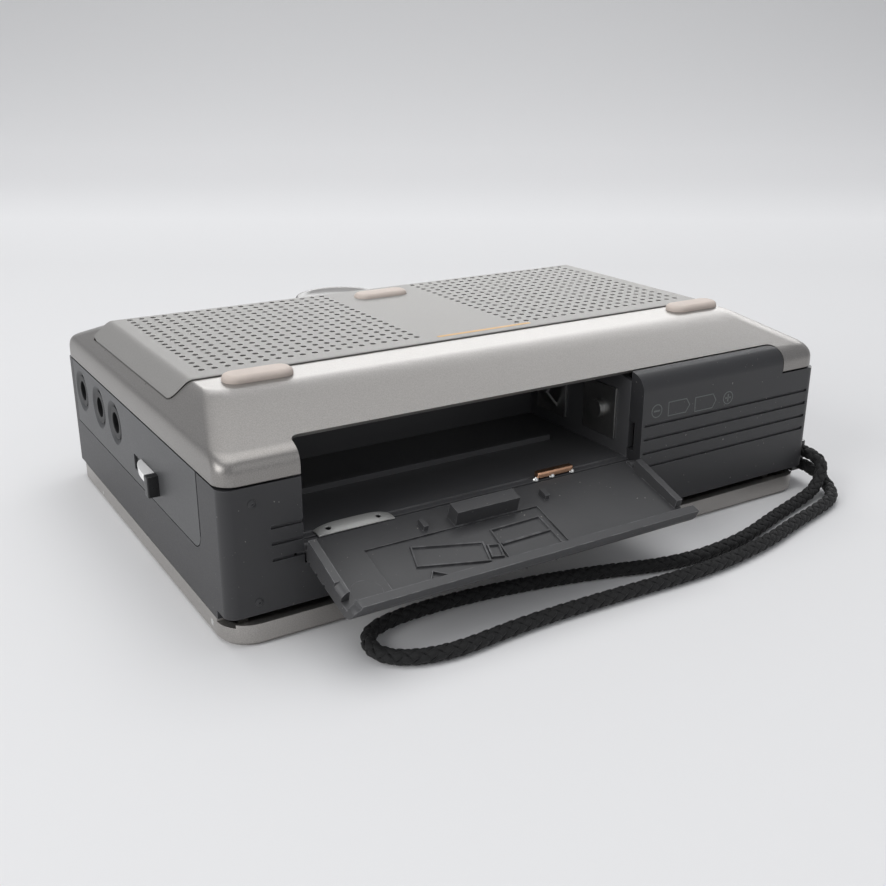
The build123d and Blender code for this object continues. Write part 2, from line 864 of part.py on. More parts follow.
def contact_link():
    """Left contact that joins both cells: one flat end, one sprung end."""
    first, second = cell_rows()
    x0 = bay_left
    x1 = bay_left + contact_sheet
    link = contact_plate(x0, x1, first) + contact_plate(x0, x1, second)
    middle = bay_floor + contact_lift + contact_height / 2
    link = link + block(x0, x1, first, second, middle - contact_bridge / 2, middle + contact_bridge / 2)
    return link + contact_leaf(x1 - 0.05, 1, first)


def contact_positive():
    """Right contact for the first cell, with its pressed bump."""
    first, _ = cell_rows()
    plate = contact_plate(bay_right - contact_sheet, bay_right, first)
    bump = Pos(bay_right - contact_sheet - 0.4, first, bay_floor + contact_lift + contact_height / 2)
    return plate + bump * Rot(0, 90, 0) * Cylinder(1.6, 1.0)


def contact_negative():
    """Right contact for the second cell, with its leaf."""
    _, second = cell_rows()
    plate = contact_plate(bay_right - contact_sheet, bay_right, second)
    return plate + contact_leaf(bay_right - contact_sheet + 0.05, -1, second)


def cassette_lid():
    """Silver lid under the cassette: a tray with hinge arms and an opening for the window."""
    outer = RectangleRounded(case_length, case_depth, lid_corner)
    lid = extrude(outer, lid_height)
    lid = chamfer(lid.edges().group_by(Axis.Z)[0], lid_edge / 2)
    inner = RectangleRounded(case_length - 2 * lid_wall, case_depth - 2 * lid_wall, lid_corner - lid_wall)
    lid = lid - extrude(Pos(0, 0, lid_floor) * inner, lid_height)
    lid = lid - block(left, right, front + lid_wall, -lid_relief_back, lid_height - lid_relief_drop,
                      lid_height + 1)
    profile = face_of(
        [
            (lid_axis[0] - 0.3, lid_axis[1] - lid_arm_radius + 0.1),
            (-lid_arm_front, lid_height),
            (-lid_arm_front, lid_floor - 0.3),
            (-lid_arm_back, lid_floor - 0.3),
            (-lid_arm_back, lid_height),
            (lid_axis[0] + 1.4, lid_axis[1] + 1.0),
        ]
    )
    profile = profile + Pos(*lid_axis) * RegularPolygon(lid_arm_radius, 12)
    profile = profile - Pos(*lid_axis) * Circle(hinge_pin_radius + running_gap)
    for side in (-1, 1):
        x = side * lid_arm_place
        lid = lid + run_along_x(profile, x - lid_arm_width / 2, x + lid_arm_width / 2)
    y0 = window_back - window_depth
    hole = block(-window_length / 2, window_length / 2, y0, window_back, -1, lid_floor + 1)
    return lid - hole


def lid_hooks():
    """Two catches with an eye each, that stand on the lid's floor by its rear wall."""
    y1 = rear - lid_wall - hook_clearance
    half = hook_width / 2
    hooks = []
    for side in (-1, 1):
        x = side * hook_place
        hook = block(x - half, x + half, y1 - hook_thickness, y1, lid_floor, hook_top)
        eye = block(x - half + hook_rim, x + half - hook_rim, y1 - 2 * hook_thickness, y1 + hook_thickness,
                    hook_top - hook_rim - hook_eye, hook_top - hook_rim)
        hooks.append(hook - eye)
    return hooks


def lid_window():
    """Clear window glued in behind the opening of the lid."""
    y0 = window_back - window_depth
    half = window_length / 2 - fit_gap
    pane = block(-half, half, y0 + fit_gap, window_back - fit_gap, window_sink, lid_floor + 0.2)
    edge = block(-half - window_ledge, half + window_ledge, y0 - window_ledge, window_back + window_ledge,
                 lid_floor, lid_floor + 0.5)
    return pane + edge


def cassette_springs():
    """Two bowed leaf springs in the lid that steady the cassette."""
    half = spring_length / 2
    crown = lid_floor + spring_bow
    flat = spring_length / 6
    leaf = face_of(
        [
            (-half, lid_floor),
            (-flat, crown),
            (flat, crown),
            (half, lid_floor),
            (half - 2 * spring_leaf, lid_floor),
            (flat, crown - spring_leaf),
            (-flat, crown - spring_leaf),
            (2 * spring_leaf - half, lid_floor),
        ]
    )
    leaf = extrude(Plane.XZ * leaf, spring_width / 2, both=True)
    return [Pos(side * spring_place, spring_row, 0) * leaf for side in (-1, 1)]


def lid_hinge_pins():
    """Two steel pins that the lid's arms turn on."""
    half = hinge_pin_length / 2
    return [Pos(side * (lid_arm_place + 0.7), 0, 0) * bar_along_x(*lid_axis, hinge_pin_radius, -half, half)
            for side in (-1, 1)]


def case_screws():
    """Four screws through deck, frame and shell."""
    screws = []
    for x, y in (front_post, rear_post):
        for side in (-1, 1):
            shank = prism(side * x, y, screw_radius, deck_level - 0.5, screw_tip)
            head = prism(side * x, y, screw_head_radius, deck_level - screw_head_height, deck_level)
            screws.append(shank + head)
    return screws


def deck_plate():
    """Steel deck over the cassette with the board's standoffs and the head plate's guides."""
    edge = right - frame_wall - deck_gap
    deck_front = bay_back + box_wall + deck_gap
    deck = block(-edge, edge, deck_front, deck_back, deck_level, deck_top)
    ear = trough_half + trough_wall + deck_gap
    back = rear - frame_wall - deck_gap
    for x0, x1 in ((-edge, -ear), (ear, edge)):
        deck = deck + block(x0, x1, deck_back - 1, back, deck_level, deck_top)
    wing_left = bay_right + box_wall + deck_gap + 1.4
    wing_front = front + frame_wall + deck_gap + 2
    deck = deck + block(wing_left, edge, wing_front, deck_front + 1, deck_level, deck_top)
    _, slider_back = slider_span()
    slider_back += switch_travel + switch_body_wall
    deck = deck - block(-edge - 1, left + panel_thickness + switch_body_depth + 0.4, deck_front - 1,
                        slider_back + 0.4, deck_level - 1, deck_top + 1)
    for x, y in (front_post, rear_post):
        for side in (-1, 1):
            deck = deck - prism(side * x, y, screw_radius + running_gap, deck_level - 1, deck_top + 1)
    deck = deck - post(capstan_place, capstan_row, capstan_radius + 0.4, deck_level - 1, deck_top + 1)
    for x, y in standoff_places:
        deck = deck + prism(x, y, standoff_radius, deck_top - 0.2, board_level, 6)
    plate_low = head_plate_level
    for x in guide_places:
        deck = deck + prism(x, guide_row, guide_radius, plate_low - 0.4, deck_level + 0.2)
        deck = deck + prism(x, guide_row, guide_head_radius, plate_low - 0.2 - guide_head_height,
                            plate_low - 0.2)
    return deck


def spindle_shafts():
    """Shafts of both reels and the idler, standing under the deck."""
    shafts = []
    for x in (-reel_place, 0, reel_place):
        shafts.append(prism(x, reel_row, spindle_radius, spindle_low, deck_level, 12))
    return shafts


def reel(side):
    """Drive reel: thin disc and a hub with three splines for the cassette."""
    disc = prism(side * reel_place, reel_row, reel_radius, reel_disc_low, reel_disc_top, reel_sides)
    hub = prism(side * reel_place, reel_row, reel_hub_radius, reel_hub_low, reel_disc_low + 0.2, reel_sides)
    turn = reel_hub_radius + reel_spline
    spline = block(0, turn, -reel_spline_width / 2, reel_spline_width / 2, reel_hub_low + 1,
                   reel_disc_low + 0.2)
    whole = disc + hub
    for k in range(3):
        whole = whole + Pos(side * reel_place, reel_row, 0) * Rot(0, 0, 120 * k) * spline
    return whole - post(side * reel_place, reel_row, spindle_radius + running_gap, 0, deck_top)


def idler_wheel():
    """Wheel between the reels with a raised hub."""
    wheel = prism(0, reel_row, idler_radius, reel_disc_low, reel_disc_top, idler_sides)
    wheel = wheel + prism(0, reel_row, reel_hub_radius, reel_disc_low - 1.6, reel_disc_low + 0.2,
                          reel_sides)
    return wheel - post(0, reel_row, spindle_radius + running_gap, 0, deck_top)


def capstan_shaft():
    """Polished shaft that pulls the tape."""
    return post(capstan_place, capstan_row, capstan_radius, capstan_low, bridge_level - running_gap)


def capstan_bush():
    """Bronze bush in the deck for the capstan."""
    bush = prism(capstan_place, capstan_row, bush_radius, deck_top, flywheel_low - moving_gap, 16)
    return bush - post(capstan_place, capstan_row, capstan_radius + running_gap, 0, case_height)


def flywheel():
    """Heavy wheel on the capstan: a web and a grooved rim."""
    x = capstan_place
    y = capstan_row
    half = belt_size / 2 + running_gap
    wheel = prism(x, y, flywheel_radius, flywheel_low, flywheel_top, flywheel_sides)
    ring = prism(x, y, flywheel_radius + 1, belt_height - half, belt_height + half, flywheel_sides)
    ring = ring - prism(x, y, belt_radius_wheel, belt_height - 1, belt_height + 1, flywheel_sides)
    recess = prism(x, y, flywheel_radius - flywheel_rim, flywheel_low + flywheel_web, flywheel_top + 1,
                   flywheel_sides // 2)
    return wheel - ring - recess - post(x, y, capstan_radius + running_gap, 0, case_height)


def flywheel_bridge():
    """Bent steel bridge over the flywheel that takes the capstan's thrust."""
    half = bridge_width / 2
    x0 = capstan_place - bridge_reach
    x1 = capstan_place + bridge_reach
    y0 = capstan_row - half
    y1 = capstan_row + half
    top = bridge_level + bridge_thickness
    bridge = block(x0, x1, y0, y1, bridge_level, top)
    for a, b in ((x0, x0 + bridge_thickness), (x1 - bridge_thickness, x1)):
        bridge = bridge + block(a, b, y0, y1, deck_top, top)
    return bridge


def motor():
    """Motor can with the bearing of its shaft."""
    can = prism(motor_place, motor_row, motor_radius, bracket_top, motor_top, motor_sides)
    return can - post(motor_place, motor_row, motor_shaft_radius + running_gap, 0,
                      bracket_top + shaft_depth + moving_gap)


def motor_bracket():
    """Plate on two legs that carries the motor over the deck."""
    half = bracket_width / 2
    x0 = motor_place - bracket_reach
    x1 = motor_place + bracket_reach
    y0 = motor_row - half
    y1 = motor_row + half
    plate = block(x0, x1, y0, y1, bracket_level, bracket_top)
    for a, b in ((x0, x0 + bracket_thickness), (x1 - bracket_thickness, x1)):
        plate = plate + block(a, b, y0, y1, deck_top, bracket_top)
    return plate - prism(motor_place, motor_row, pulley_radius, bracket_level - 1, bracket_top + 1)


def motor_pulley():
    """Grooved brass pulley on the motor's shaft."""
    x = motor_place
    y = motor_row
    low = belt_height - pulley_height / 2
    high = belt_height + pulley_height / 2
    half = belt_size / 2 + running_gap
    pulley = prism(x, y, pulley_radius, low, belt_height - half, pulley_sides)
    pulley = pulley + prism(x, y, belt_radius_pulley, low, high, pulley_sides)
    pulley = pulley + prism(x, y, pulley_radius, belt_height + half, high, pulley_sides)
    return pulley + post(x, y, motor_shaft_radius, high - 0.2, bracket_top + shaft_depth)


def belt_outline(extra):
    """The loop round the flywheel and the pulley, a little outside their grooves."""
    big = belt_radius_wheel + extra
    small = belt_radius_pulley + extra
    dx = motor_place - capstan_place
    dy = motor_row - capstan_row
    span = hypot(dx, dy)
    turn = degrees(atan2(dy, dx))
    lean = acos((big - small) / span)
    big_x = big * cos(lean)
    big_y = big * sin(lean)
    small_x = span + small * cos(lean)
    small_y = small * sin(lean)
    sides = face_of([(big_x, big_y), (small_x, small_y), (small_x, -small_y), (big_x, -big_y)])
    loop = Circle(big) + Pos(span, 0) * Circle(small) + sides
    return Pos(capstan_place, capstan_row) * Rot(0, 0, turn) * loop


def drive_belt():
    """Rubber belt from the motor's pulley to the flywheel."""
    ring = belt_outline(belt_size) - belt_outline(running_gap)
    return extrude(Pos(0, 0, belt_height - belt_size / 2) * ring, belt_size)


def head_plate():
    """Sliding steel plate that carries the heads, with two guide slots."""
    plate = block(head_plate_left, head_plate_right, head_plate_front, head_plate_back, head_plate_level,
                  head_plate_level + head_plate_thickness)
    width = 2 * (guide_radius + 0.15)
    length = width + key_travel + 0.3
    for x in guide_places:
        plate = plate - block(x - width / 2, x + width / 2, guide_row - width / 2,
                              guide_row - width / 2 + length, head_plate_level - 1, deck_level)
    return plate


def tape_head(x, width):
    """A tape head: metal case with a curved face, hung from the plate by its foot."""
    half = width / 2
    y0 = play_head_row
    y1 = y0 + head_depth
    face = make_face(
        Polyline((x - half, y0 + 1.2), (x - half, y1), (x + half, y1), (x + half, y0 + 1.2))
        + ThreePointArc((x + half, y0 + 1.2), (x, y0), (x - half, y0 + 1.2))
    )
    body = extrude(Pos(0, 0, head_low) * face, head_high - head_low)
    foot = block(x - half - 1, x + half + 1, y0 + 1.6, y1 + 0.4, head_high - 0.1, head_plate_level)
    return body + foot


def pinch_roller():
    """Rubber roller that presses the tape on the capstan."""
    roller = prism(capstan_place, roller_row, roller_radius, roller_low, roller_low + roller_height,
                   roller_sides)
    return roller - post(capstan_place, roller_row, roller_pin_radius + running_gap, 0, case_height)


def pinch_arm():
    """Arm with the roller's pin, pivoted under the head plate."""
    low = head_plate_level - 0.6 - arm_thickness
    dx = arm_pivot_place - capstan_place
    dy = arm_pivot_row - roller_row
    turn = degrees(atan2(dy, dx))
    plan = Pos(capstan_place, roller_row) * Rot(0, 0, turn)
    plan = plan * Pos(hypot(dx, dy) / 2, 0) * SlotOverall(hypot(dx, dy) + 2 * arm_radius, 2 * arm_radius)
    arm = extrude(Pos(0, 0, low) * plan, arm_thickness)
    arm = arm + prism(arm_pivot_place, arm_pivot_row, 1.4, low + 0.1, head_plate_level)
    return arm + post(capstan_place, roller_row, roller_pin_radius, roller_low - 0.3, low + 0.1)


def circuit_board():
    """Board over the drive that carries jacks, chips and the volume control."""
    edge = board_half_length
    return block(-edge, edge, board_front, board_back, board_level, board_top)


def chips():
    """Integrated circuits under the board."""
    x_size, y_size, z_size = chip_size
    return [block(x - x_size / 2, x + x_size / 2, y - y_size / 2, y + y_size / 2, board_level - z_size,
                  board_level) for x, y in chip_places]


def capacitors():
    """Electrolytic capacitors under the board."""
    return [prism(x, y, capacitor_radius, board_level - capacitor_height, board_level, 12)
            for x, y in capacitor_places]


def volume_pot():
    """Volume control on the board with its short shaft."""
    half = pot_width / 2
    y0 = dial_row - half
    body = block(dial_place - half, dial_place + half, y0, y0 + pot_width - 0.4, board_top, pot_top)
    body = body - block(dial_place - half, dial_place + half, board_back, rear, 0, board_top)
    return body + post(dial_place, dial_row, pot_shaft_radius, pot_top - 1, dial_low + dial_thickness - 0.8)


def volume_dial():
    """Thumb wheel with a ribbed rim that stands out of the rear slope."""
    points = []
    for k in range(dial_teeth):
        for radius, share in ((dial_radius, 0.25), (dial_radius - dial_tooth, 0.75)):
            angle = radians(360 * (k + share) / dial_teeth)
            points.append((radius * cos(angle), radius * sin(angle)))
    wheel = extrude(face_of(points), dial_thickness)
    wheel = wheel - prism(0, 0, dial_radius - dial_rim, dial_thickness - dial_recess, 2 * dial_thickness,
                          dial_teeth)
    wheel = wheel + prism(0, 0, pot_shaft_radius + dial_hub, pot_top + 0.2 - dial_low, 0.1, 12)
    wheel = wheel - Pos(0, 0, dial_thickness - 0.7) * Cylinder(
        pot_shaft_radius + running_gap, 10, align=(Align.CENTER, Align.CENTER, Align.MAX)
    )
    return Pos(dial_place, dial_row, dial_low) * wheel


def microphone_capsule():
    """Microphone behind the small hole in the right wall."""
    x1 = right - frame_wall
    return bar_along_x(capsule_row, capsule_height, capsule_radius, x1 - capsule_length, x1)


def key_x(index):
    """The middle of a key along X."""
    return (index - (len(key_names) - 1) / 2) * key_pitch


def key(index):
    """A push key: a cap with a dished front and a flat stem through the trough's wall."""
    x = key_x(index)
    half = (key_pitch - key_side_gap) / 2
    y0 = rear - 0.4
    y1 = rear + key_stand_out
    middle = (key_low + key_high) / 2
    face = make_face(
        Polyline((y1 - 0.3, key_high - 0.8), (y1 - 1.1, key_high), (y0, key_high), (y0, key_low),
                 (y1 - 1.1, key_low), (y1 - 0.3, key_low + 0.8))
        + ThreePointArc((y1 - 0.3, key_low + 0.8), (y1 - 0.3 - key_dish, middle), (y1 - 0.3, key_high - 0.8))
    )
    cap = run_along_x(face, x - half, x + half)
    stem = block(x - stem_width / 2, x + stem_width / 2, rear - stem_reach, y0 + 0.5, key_low,
                 key_low + stem_thickness)
    return cap + stem


def key_return_spring():
    """Comb of leaf fingers on the deck that push the keys back out."""
    y1 = rear - stem_reach - 0.1
    y0 = y1 - spring_base
    edge = key_x(len(key_names) - 1) + spring_finger
    comb = block(-edge, edge, y0, y1, deck_top, deck_top + spring_sheet)
    for k in range(len(key_names)):
        x = key_x(k)
        comb = comb + block(x - spring_finger / 2, x + spring_finger / 2, y1 - spring_sheet, y1, deck_top,
                            key_low + stem_thickness)
    return comb


def strap_lug():
    """Rounded lug on the right end that both strands of the strap come out of."""
    x1 = lug_axis + lug_width / 2
    lug = block(right, x1, lug_front, lug_front + lug_depth, lug_low, lug_high)
    return fillet(lug.edges().filter_by(Axis.Z).group_by(Axis.X)[-1], 1.2)


def strap_points():
    """The whole route of the strap, from one exit of the lug to the other."""
    start = (lug_axis, lug_front, lug_exits[0])
    end = (lug_axis, lug_front, lug_exits[1])
    return [Vector(p) for p in (start, *strap_route, end)]


def strap_radii(points):
    """The largest arc that the two runs beside each corner allow."""
    radii = []
    for before, here, after in zip(points, points[1:], points[2:]):
        turn = (here - before).get_angle(after - here)
        shorter = min((here - before).length, (after - here).length)
        radii.append(0.45 * shorter / tan(radians(turn / 2)))
    return radii


def wrist_strap():
    """Limp cord that lies on the floor in front of the recorder."""
    points = strap_points()
    radii = strap_radii(points)
    path = FilletPolyline(*points, radius=radii)
    section = Plane(path @ 0, x_dir=(1, 0, 0), z_dir=path % 0) * RegularPolygon(cord_diameter / 2, 6)
    cord = sweep(section, path)
    print("strap length", round(path.length, 1), "least radius", round(min(radii), 1))
    print("strap volume", round(cord.volume, 1), "section times length",
          round(section.area * path.length, 1))
    return cord


def pieces():
    """Every node of the recorder with its solids."""
    nodes = {
        "top_shell": top_shell(),
        "speaker_grille": speaker_grille(),
        "grille_felts": felts(),
        "rubber_feet": rubber_feet(),
        "speaker_left": speaker(-1),
        "speaker_right": speaker(1),
        "mid_frame": mid_frame(),
        "key_trough": key_trough(),
        "jack_panel": jack_panel(),
        "slide_switch_body": slide_switch_body(),
        "slide_switch_knob": slide_switch_knob(),
        "battery_box": battery_box(),
        "battery_door": battery_door_open(),
        "latch_strip": latch_strip(),
        "copper_contact": copper_contact(),
        "contact_link": contact_link(),
        "contact_positive": contact_positive(),
        "contact_negative": contact_negative(),
        "cassette_lid": cassette_lid(),
        "lid_hooks": lid_hooks(),
        "lid_window": lid_window(),
        "cassette_springs": cassette_springs(),
        "lid_hinge_pins": lid_hinge_pins(),
        "case_screws": case_screws(),
        "deck_plate": deck_plate(),
        "spindle_shafts": spindle_shafts(),
        "supply_reel": reel(-1),
        "takeup_reel": reel(1),
        "idler_wheel": idler_wheel(),
        "capstan_shaft": capstan_shaft(),
        "capstan_bush": capstan_bush(),
        "flywheel": flywheel(),
        "flywheel_bridge": flywheel_bridge(),
        "motor": motor(),
        "motor_bracket": motor_bracket(),
        "motor_pulley": motor_pulley(),
        "drive_belt": drive_belt(),
        "head_plate": head_plate(),
        "play_head": tape_head(0, play_head_width),
        "erase_head": tape_head(erase_head_place, erase_head_width),
        "pinch_roller": pinch_roller(),
        "pinch_arm": pinch_arm(),
        "circuit_board": circuit_board(),
        "chips": chips(),
        "capacitors": capacitors(),
        "volume_pot": volume_pot(),
        "volume_dial": volume_dial(),
        "microphone_capsule": microphone_capsule(),
        "key_return_spring": key_return_spring(),
        "strap_lug": strap_lug(),
        "wrist_strap": wrist_strap(),
    }
    for name, row in jack_rows.items():
        nodes[name] = jack(row)
    for index, name in enumerate(key_names):
        nodes[name] = key(index)
    return nodes


os.makedirs("parts", exist_ok=True)
for name, solid in pieces().items():
    if isinstance(solid, list):
        solid = Compound(children=[part if isinstance(part, Solid) else part.solid() for part in solid])
    export_step(solid, f"parts/{name}.step")
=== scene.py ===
"""Dresses a portable cassette recorder that lies on its lid with the battery door open.

Lengths in this file are millimetres unless a name says otherwise, and meshes are put
into the scene in metres.
"""

import json
from math import cos, pi, radians, sin

import bmesh
import bpy
import numpy as np
from bpy.props import FloatProperty, FloatVectorProperty, IntProperty, PointerProperty
from bpy.types import Operator, Panel, PropertyGroup
from mathutils import Matrix, Vector

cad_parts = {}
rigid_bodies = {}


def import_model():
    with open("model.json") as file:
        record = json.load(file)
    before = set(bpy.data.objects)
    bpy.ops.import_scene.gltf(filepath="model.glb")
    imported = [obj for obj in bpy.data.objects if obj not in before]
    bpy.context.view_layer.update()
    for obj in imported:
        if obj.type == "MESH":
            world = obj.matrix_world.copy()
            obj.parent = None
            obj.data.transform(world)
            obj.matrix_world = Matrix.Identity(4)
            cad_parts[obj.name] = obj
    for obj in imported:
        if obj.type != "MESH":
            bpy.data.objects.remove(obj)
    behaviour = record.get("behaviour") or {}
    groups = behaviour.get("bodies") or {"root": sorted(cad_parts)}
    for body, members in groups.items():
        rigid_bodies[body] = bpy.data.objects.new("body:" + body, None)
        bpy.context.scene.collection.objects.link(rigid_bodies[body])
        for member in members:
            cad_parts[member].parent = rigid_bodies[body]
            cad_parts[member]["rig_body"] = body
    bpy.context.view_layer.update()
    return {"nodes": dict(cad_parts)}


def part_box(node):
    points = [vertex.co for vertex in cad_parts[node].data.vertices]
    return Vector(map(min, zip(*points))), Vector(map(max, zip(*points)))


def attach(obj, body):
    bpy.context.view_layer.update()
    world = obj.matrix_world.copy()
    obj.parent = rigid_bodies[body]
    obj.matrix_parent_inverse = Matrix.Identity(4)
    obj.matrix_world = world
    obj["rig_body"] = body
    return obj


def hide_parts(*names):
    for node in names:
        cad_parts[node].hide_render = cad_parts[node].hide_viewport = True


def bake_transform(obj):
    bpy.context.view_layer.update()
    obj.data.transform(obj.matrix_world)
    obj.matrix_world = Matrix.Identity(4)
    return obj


bl_info = {
    "name": "Portable Cassette Recorder",
    "version": (1, 0, 0),
    "blender": (4, 5, 0),
    "location": "3D View > Sidebar > Recorder",
    "description": "Builds the shells, grille, door relief, controls and strap of a cassette recorder",
    "category": "Object",
}

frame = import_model()
NODES = frame["nodes"]
MM = 0.001

# Case, as in the solids. SLOPES are the side's, the front's and the back's reach
HALF_LENGTH = 57.5
HALF_DEPTH = 40.0
SEAM = 24.1
SEAM_GAP = 0.22
BAND_TOP = 27.9
TOP = 32.2
SLOPES = (5.3, 16.3, 11.5)
WALL = 0.45
CORNER = 2.8
SHELL_EDGE = 0.16

# Notch over the bay: its ends, its depth at the slope, its corners, and how far it leans in a millimetre
NOTCH = (-45.7, 48.8, 3.65, 1.4)
NOTCH_LEAN = 0.6
NOTCH_LEVEL = BAND_TOP + 0.9
NOTCH_SPAN = (18.0, 36.0)

# Grille plate. Its rim falls by RIM_FAR at the edge, by RIM_NEAR that far in, and not from RIM_FAR on
PLATE_FRONT = -15.2
PLATE_BACK = 27.7
PLATE_HALF = 55.4
PLATE_RISE = 0.25
PLATE_THICKNESS = 0.8
PLATE_CORNER = 1.2
PLATE_TOP = TOP + PLATE_RISE
RECESS_GAP = 0.05
RIM_NEAR = 0.05
RIM_FAR = 0.14
HOLE_SIDES = 12
FELT_GAP = 0.2

# Bar on the plate: its place and rise, then length, depth, rim, corner and a corner's steps
BAR_PLACE = (2.4, -12.9)
BAR_RISE = 0.02
BAR = (19.5, 0.95, 0.02, 0.3, 4)

# Rubber feet: place and lowest level of each, then length, depth, rim, corner and a corner's steps
FEET = ((-42.5, -18.3, TOP - 0.1), (46.4, -18.3, TOP - 0.1), (0.3, 21.5, TOP + 0.1))
FOOT = (11.2, 4.6, 0.85, 2.1, 12)
FOOT_TOP = TOP + 1.1

# Thumb dial: place, radius, lowest level and thickness
DIAL = (-2.8, 34.0, 9.0, 28.0, 2.4)
DIAL_GAP = 0.45
RIB_DEPTH = 0.42

# Battery door: hinge, opening angle and half its thickness, then lengths along it from the hinge
DOOR_AXIS = (-38.8, 12.8)
DOOR_ANGLE = radians(107)
DOOR_SKIN = 0.3
PANEL_END = 11.6
PANEL_MORE = 1.1
TAB_MORE = 0.5
RELIEF = (
    ((-31.0, 5.6), (-32.1, 9.5), (-21.3, 12.1), (-20.3, 8.3)),
    ((-19.9, 9.1), (-18.2, 9.5), (-18.9, 11.9), (-20.6, 11.5)),
    ((-17.6, 6.3), (-18.4, 13.9), (-8.6, 13.4), (-8.6, 6.1)),
    ((-17.5, 9.5), (-8.8, 9.3), (-8.8, 9.42), (-17.5, 9.62)),
)
ARROW = (
    (-30.6, 11.2), (-32.0, 13.1), (-31.2, 13.3), (-31.4, 14.1), (-29.2, 14.1), (-29.0, 13.2), (-28.2, 13.0)
)
ARROWHEADS = (((-17.9, 15.1), (-17.2, 14.9), (-17.2, 15.5)), ((-12.6, 15.1), (-11.9, 14.9), (-11.9, 15.5)))
GATE_MARK = (-41.2, 11.6, 2.3)

# Front of the frame: pips, and the outlines of two cells with a ring at each end
PIPS = ((-53.0, 21.6), (-52.8, 6.8))
PIP_PROFILE = ((0.62, 0.1), (0.6, -0.08), (0.42, -0.2), (0.18, -0.22), (0.12, -0.1))
CELL_MARKS = ((21.5, 26.3, 20.9, 23.3), (27.6, 32.5, 20.6, 23.1))
MINUS = (18.9, 22.2)
PLUS = (35.4, 21.8)
MARK_LINE = 0.22
MARK_RING = 1.1
MARK_BAR = (0.6, 0.06)

# Left side. A pad of the switch has its place and length along Y, height, two levels off the side and rim
SWITCH_HEIGHT = 15.6
SWITCH_PADS = ((-12.15, 1.7, 3.5, 0.0, 1.8, 0.2), (-7.0, 12.6, 2.8, -1.0, -0.35, 0.1))
SCOOP = (-11.3, -4.6)
SCOOP_RISE = 1.7
SCOOP_LEVELS = (16.2, 16.35, 17.15, 17.35)
SIDE_PANEL_FRONT = -31.2
SEAM_MORE = 0.3
JACKS = ("dc_jack", "earphone_jack", "microphone_jack")
LID_DENTS = ((-57.5, -33.2, 1.9, 0.7), (-57.5, 24.0, 1.2, 0.4))

# Keys and the comb that pushes them back
KEYS = ("record_key", "play_key", "rewind_key", "forward_key", "stop_eject_key", "pause_key")
SPRING_SHEET = 0.3

# Contacts: the beads' profile, the steel leaf's sheet, rise, crown and holes, and the rod as a pad
BEAD_PROFILE = ((0.62, 0.0), (0.6, 0.25), (0.45, 0.5), (0.2, 0.62))
LEAF_SHEET = 0.2
LEAF_RISE = 0.75
LEAF_CROWN = 0.12
LEAF_HOLES = (0.16, 0.82)
ROD = (7.2, 1.5, 0.3, 0.5, 6)

# The strap's route, exit to exit, as in the solids
STRAP_ROUTE = (
    (59.5, -37.4, 3.9),
    (59.5, -40.6, 3.9),
    (59.9, -44.2, 1.7),
    (56.6, -48.2, 1.25),
    (50.5, -50.2, 1.25),
    (42.0, -52.2, 1.25),
    (31.0, -55.4, 1.25),
    (16.0, -57.4, 1.25),
    (-2.0, -56.4, 1.25),
    (-19.0, -56.0, 1.25),
    (-33.5, -57.4, 1.25),
    (-41.4, -53.6, 1.25),
    (-40.4, -46.4, 1.25),
    (-31.5, -44.4, 1.25),
    (-17.0, -45.4, 1.25),
    (-1.0, -48.6, 1.25),
    (13.5, -53.4, 1.25),
    (28.0, -52.6, 1.25),
    (40.5, -48.6, 1.25),
    (49.2, -46.2, 1.25),
    (55.4, -44.9, 1.9),
    (59.0, -43.4, 5.4),
    (59.5, -40.4, 6.6),
    (59.5, -37.4, 6.6),
)
STRAND_HALF_WIDTH = 0.56
STRAND_HALF_HEIGHT = 0.27
STRAND_RADIUS = 0.76
STRAND_SWING = 0.16
STRAND_SIDES = 8

# Finishes of the inner solids that stay as they are
WORKS = (
    ("zinc_sheet", "deck_plate head_plate flywheel_bridge motor_bracket pinch_arm case_screws volume_pot"),
    ("ground_shaft", "capstan_shaft spindle_shafts lid_hinge_pins"),
    ("turned_brass", "flywheel motor_pulley capstan_bush"),
    ("strip_steel", "motor speaker_left speaker_right microphone_capsule"),
    ("white_moulding", "supply_reel takeup_reel"),
    ("key_plastic", "idler_wheel"),
    ("dark_rubber", "drive_belt pinch_roller"),
    ("head_metal", "play_head erase_head"),
    ("board_laminate", "circuit_board"),
    ("chip_black", "chips"),
    ("sleeve_blue", "capacitors"),
)

# Camera of the photograph
CAMERA_PLACE = (-100.547, -165.312, 78.764)
CAMERA_AZIMUTH = radians(-31.756)
CAMERA_HEIGHT_ANGLE = radians(20.191)
CAMERA_ROLL = radians(0.122)
CAMERA_FOCUS_PIXELS = 1072.3
PHOTO_WIDTH = 886
SENSOR = 36.0

# Paper: the ends of its flat part, the radius of its bend, its height and half its width, then the
# light and shade painted into its colour over the distance behind the recorder, from 0 to PAPER_REACH
PAPER_START = -900
PAPER_END = 480
PAPER_BEND = 420.0
PAPER_HIGH = 1500.0
PAPER_HALF = 1400
PAPER_REACH = 1000.0
PAPER_PAINTED_LIGHT = ((0.0, 0.81), (0.22, 0.80), (0.34, 0.87), (0.58, 0.79), (0.78, 0.63), (0.87, 0.9), (1.0, 0.9))

# Lamps: name, place, aim, width, height and power in watts
LAMPS = (
    ("overhead", (60, 140, 900), (0, 0, 0), 900, 900, 4.6),
    ("back_box", (440, 590, 290), (0, 0, 20), 800, 170, 1.9),
    ("left_box", (-900, -100, 420), (0, 0, 20), 600, 600, 4.2),
    ("front_box", (200, -900, 500), (0, 0, 20), 700, 700, 0.8),
)
ROOM_COLOUR = (0.93, 0.95, 1.0, 1)
ROOM_STRENGTH = 0.38


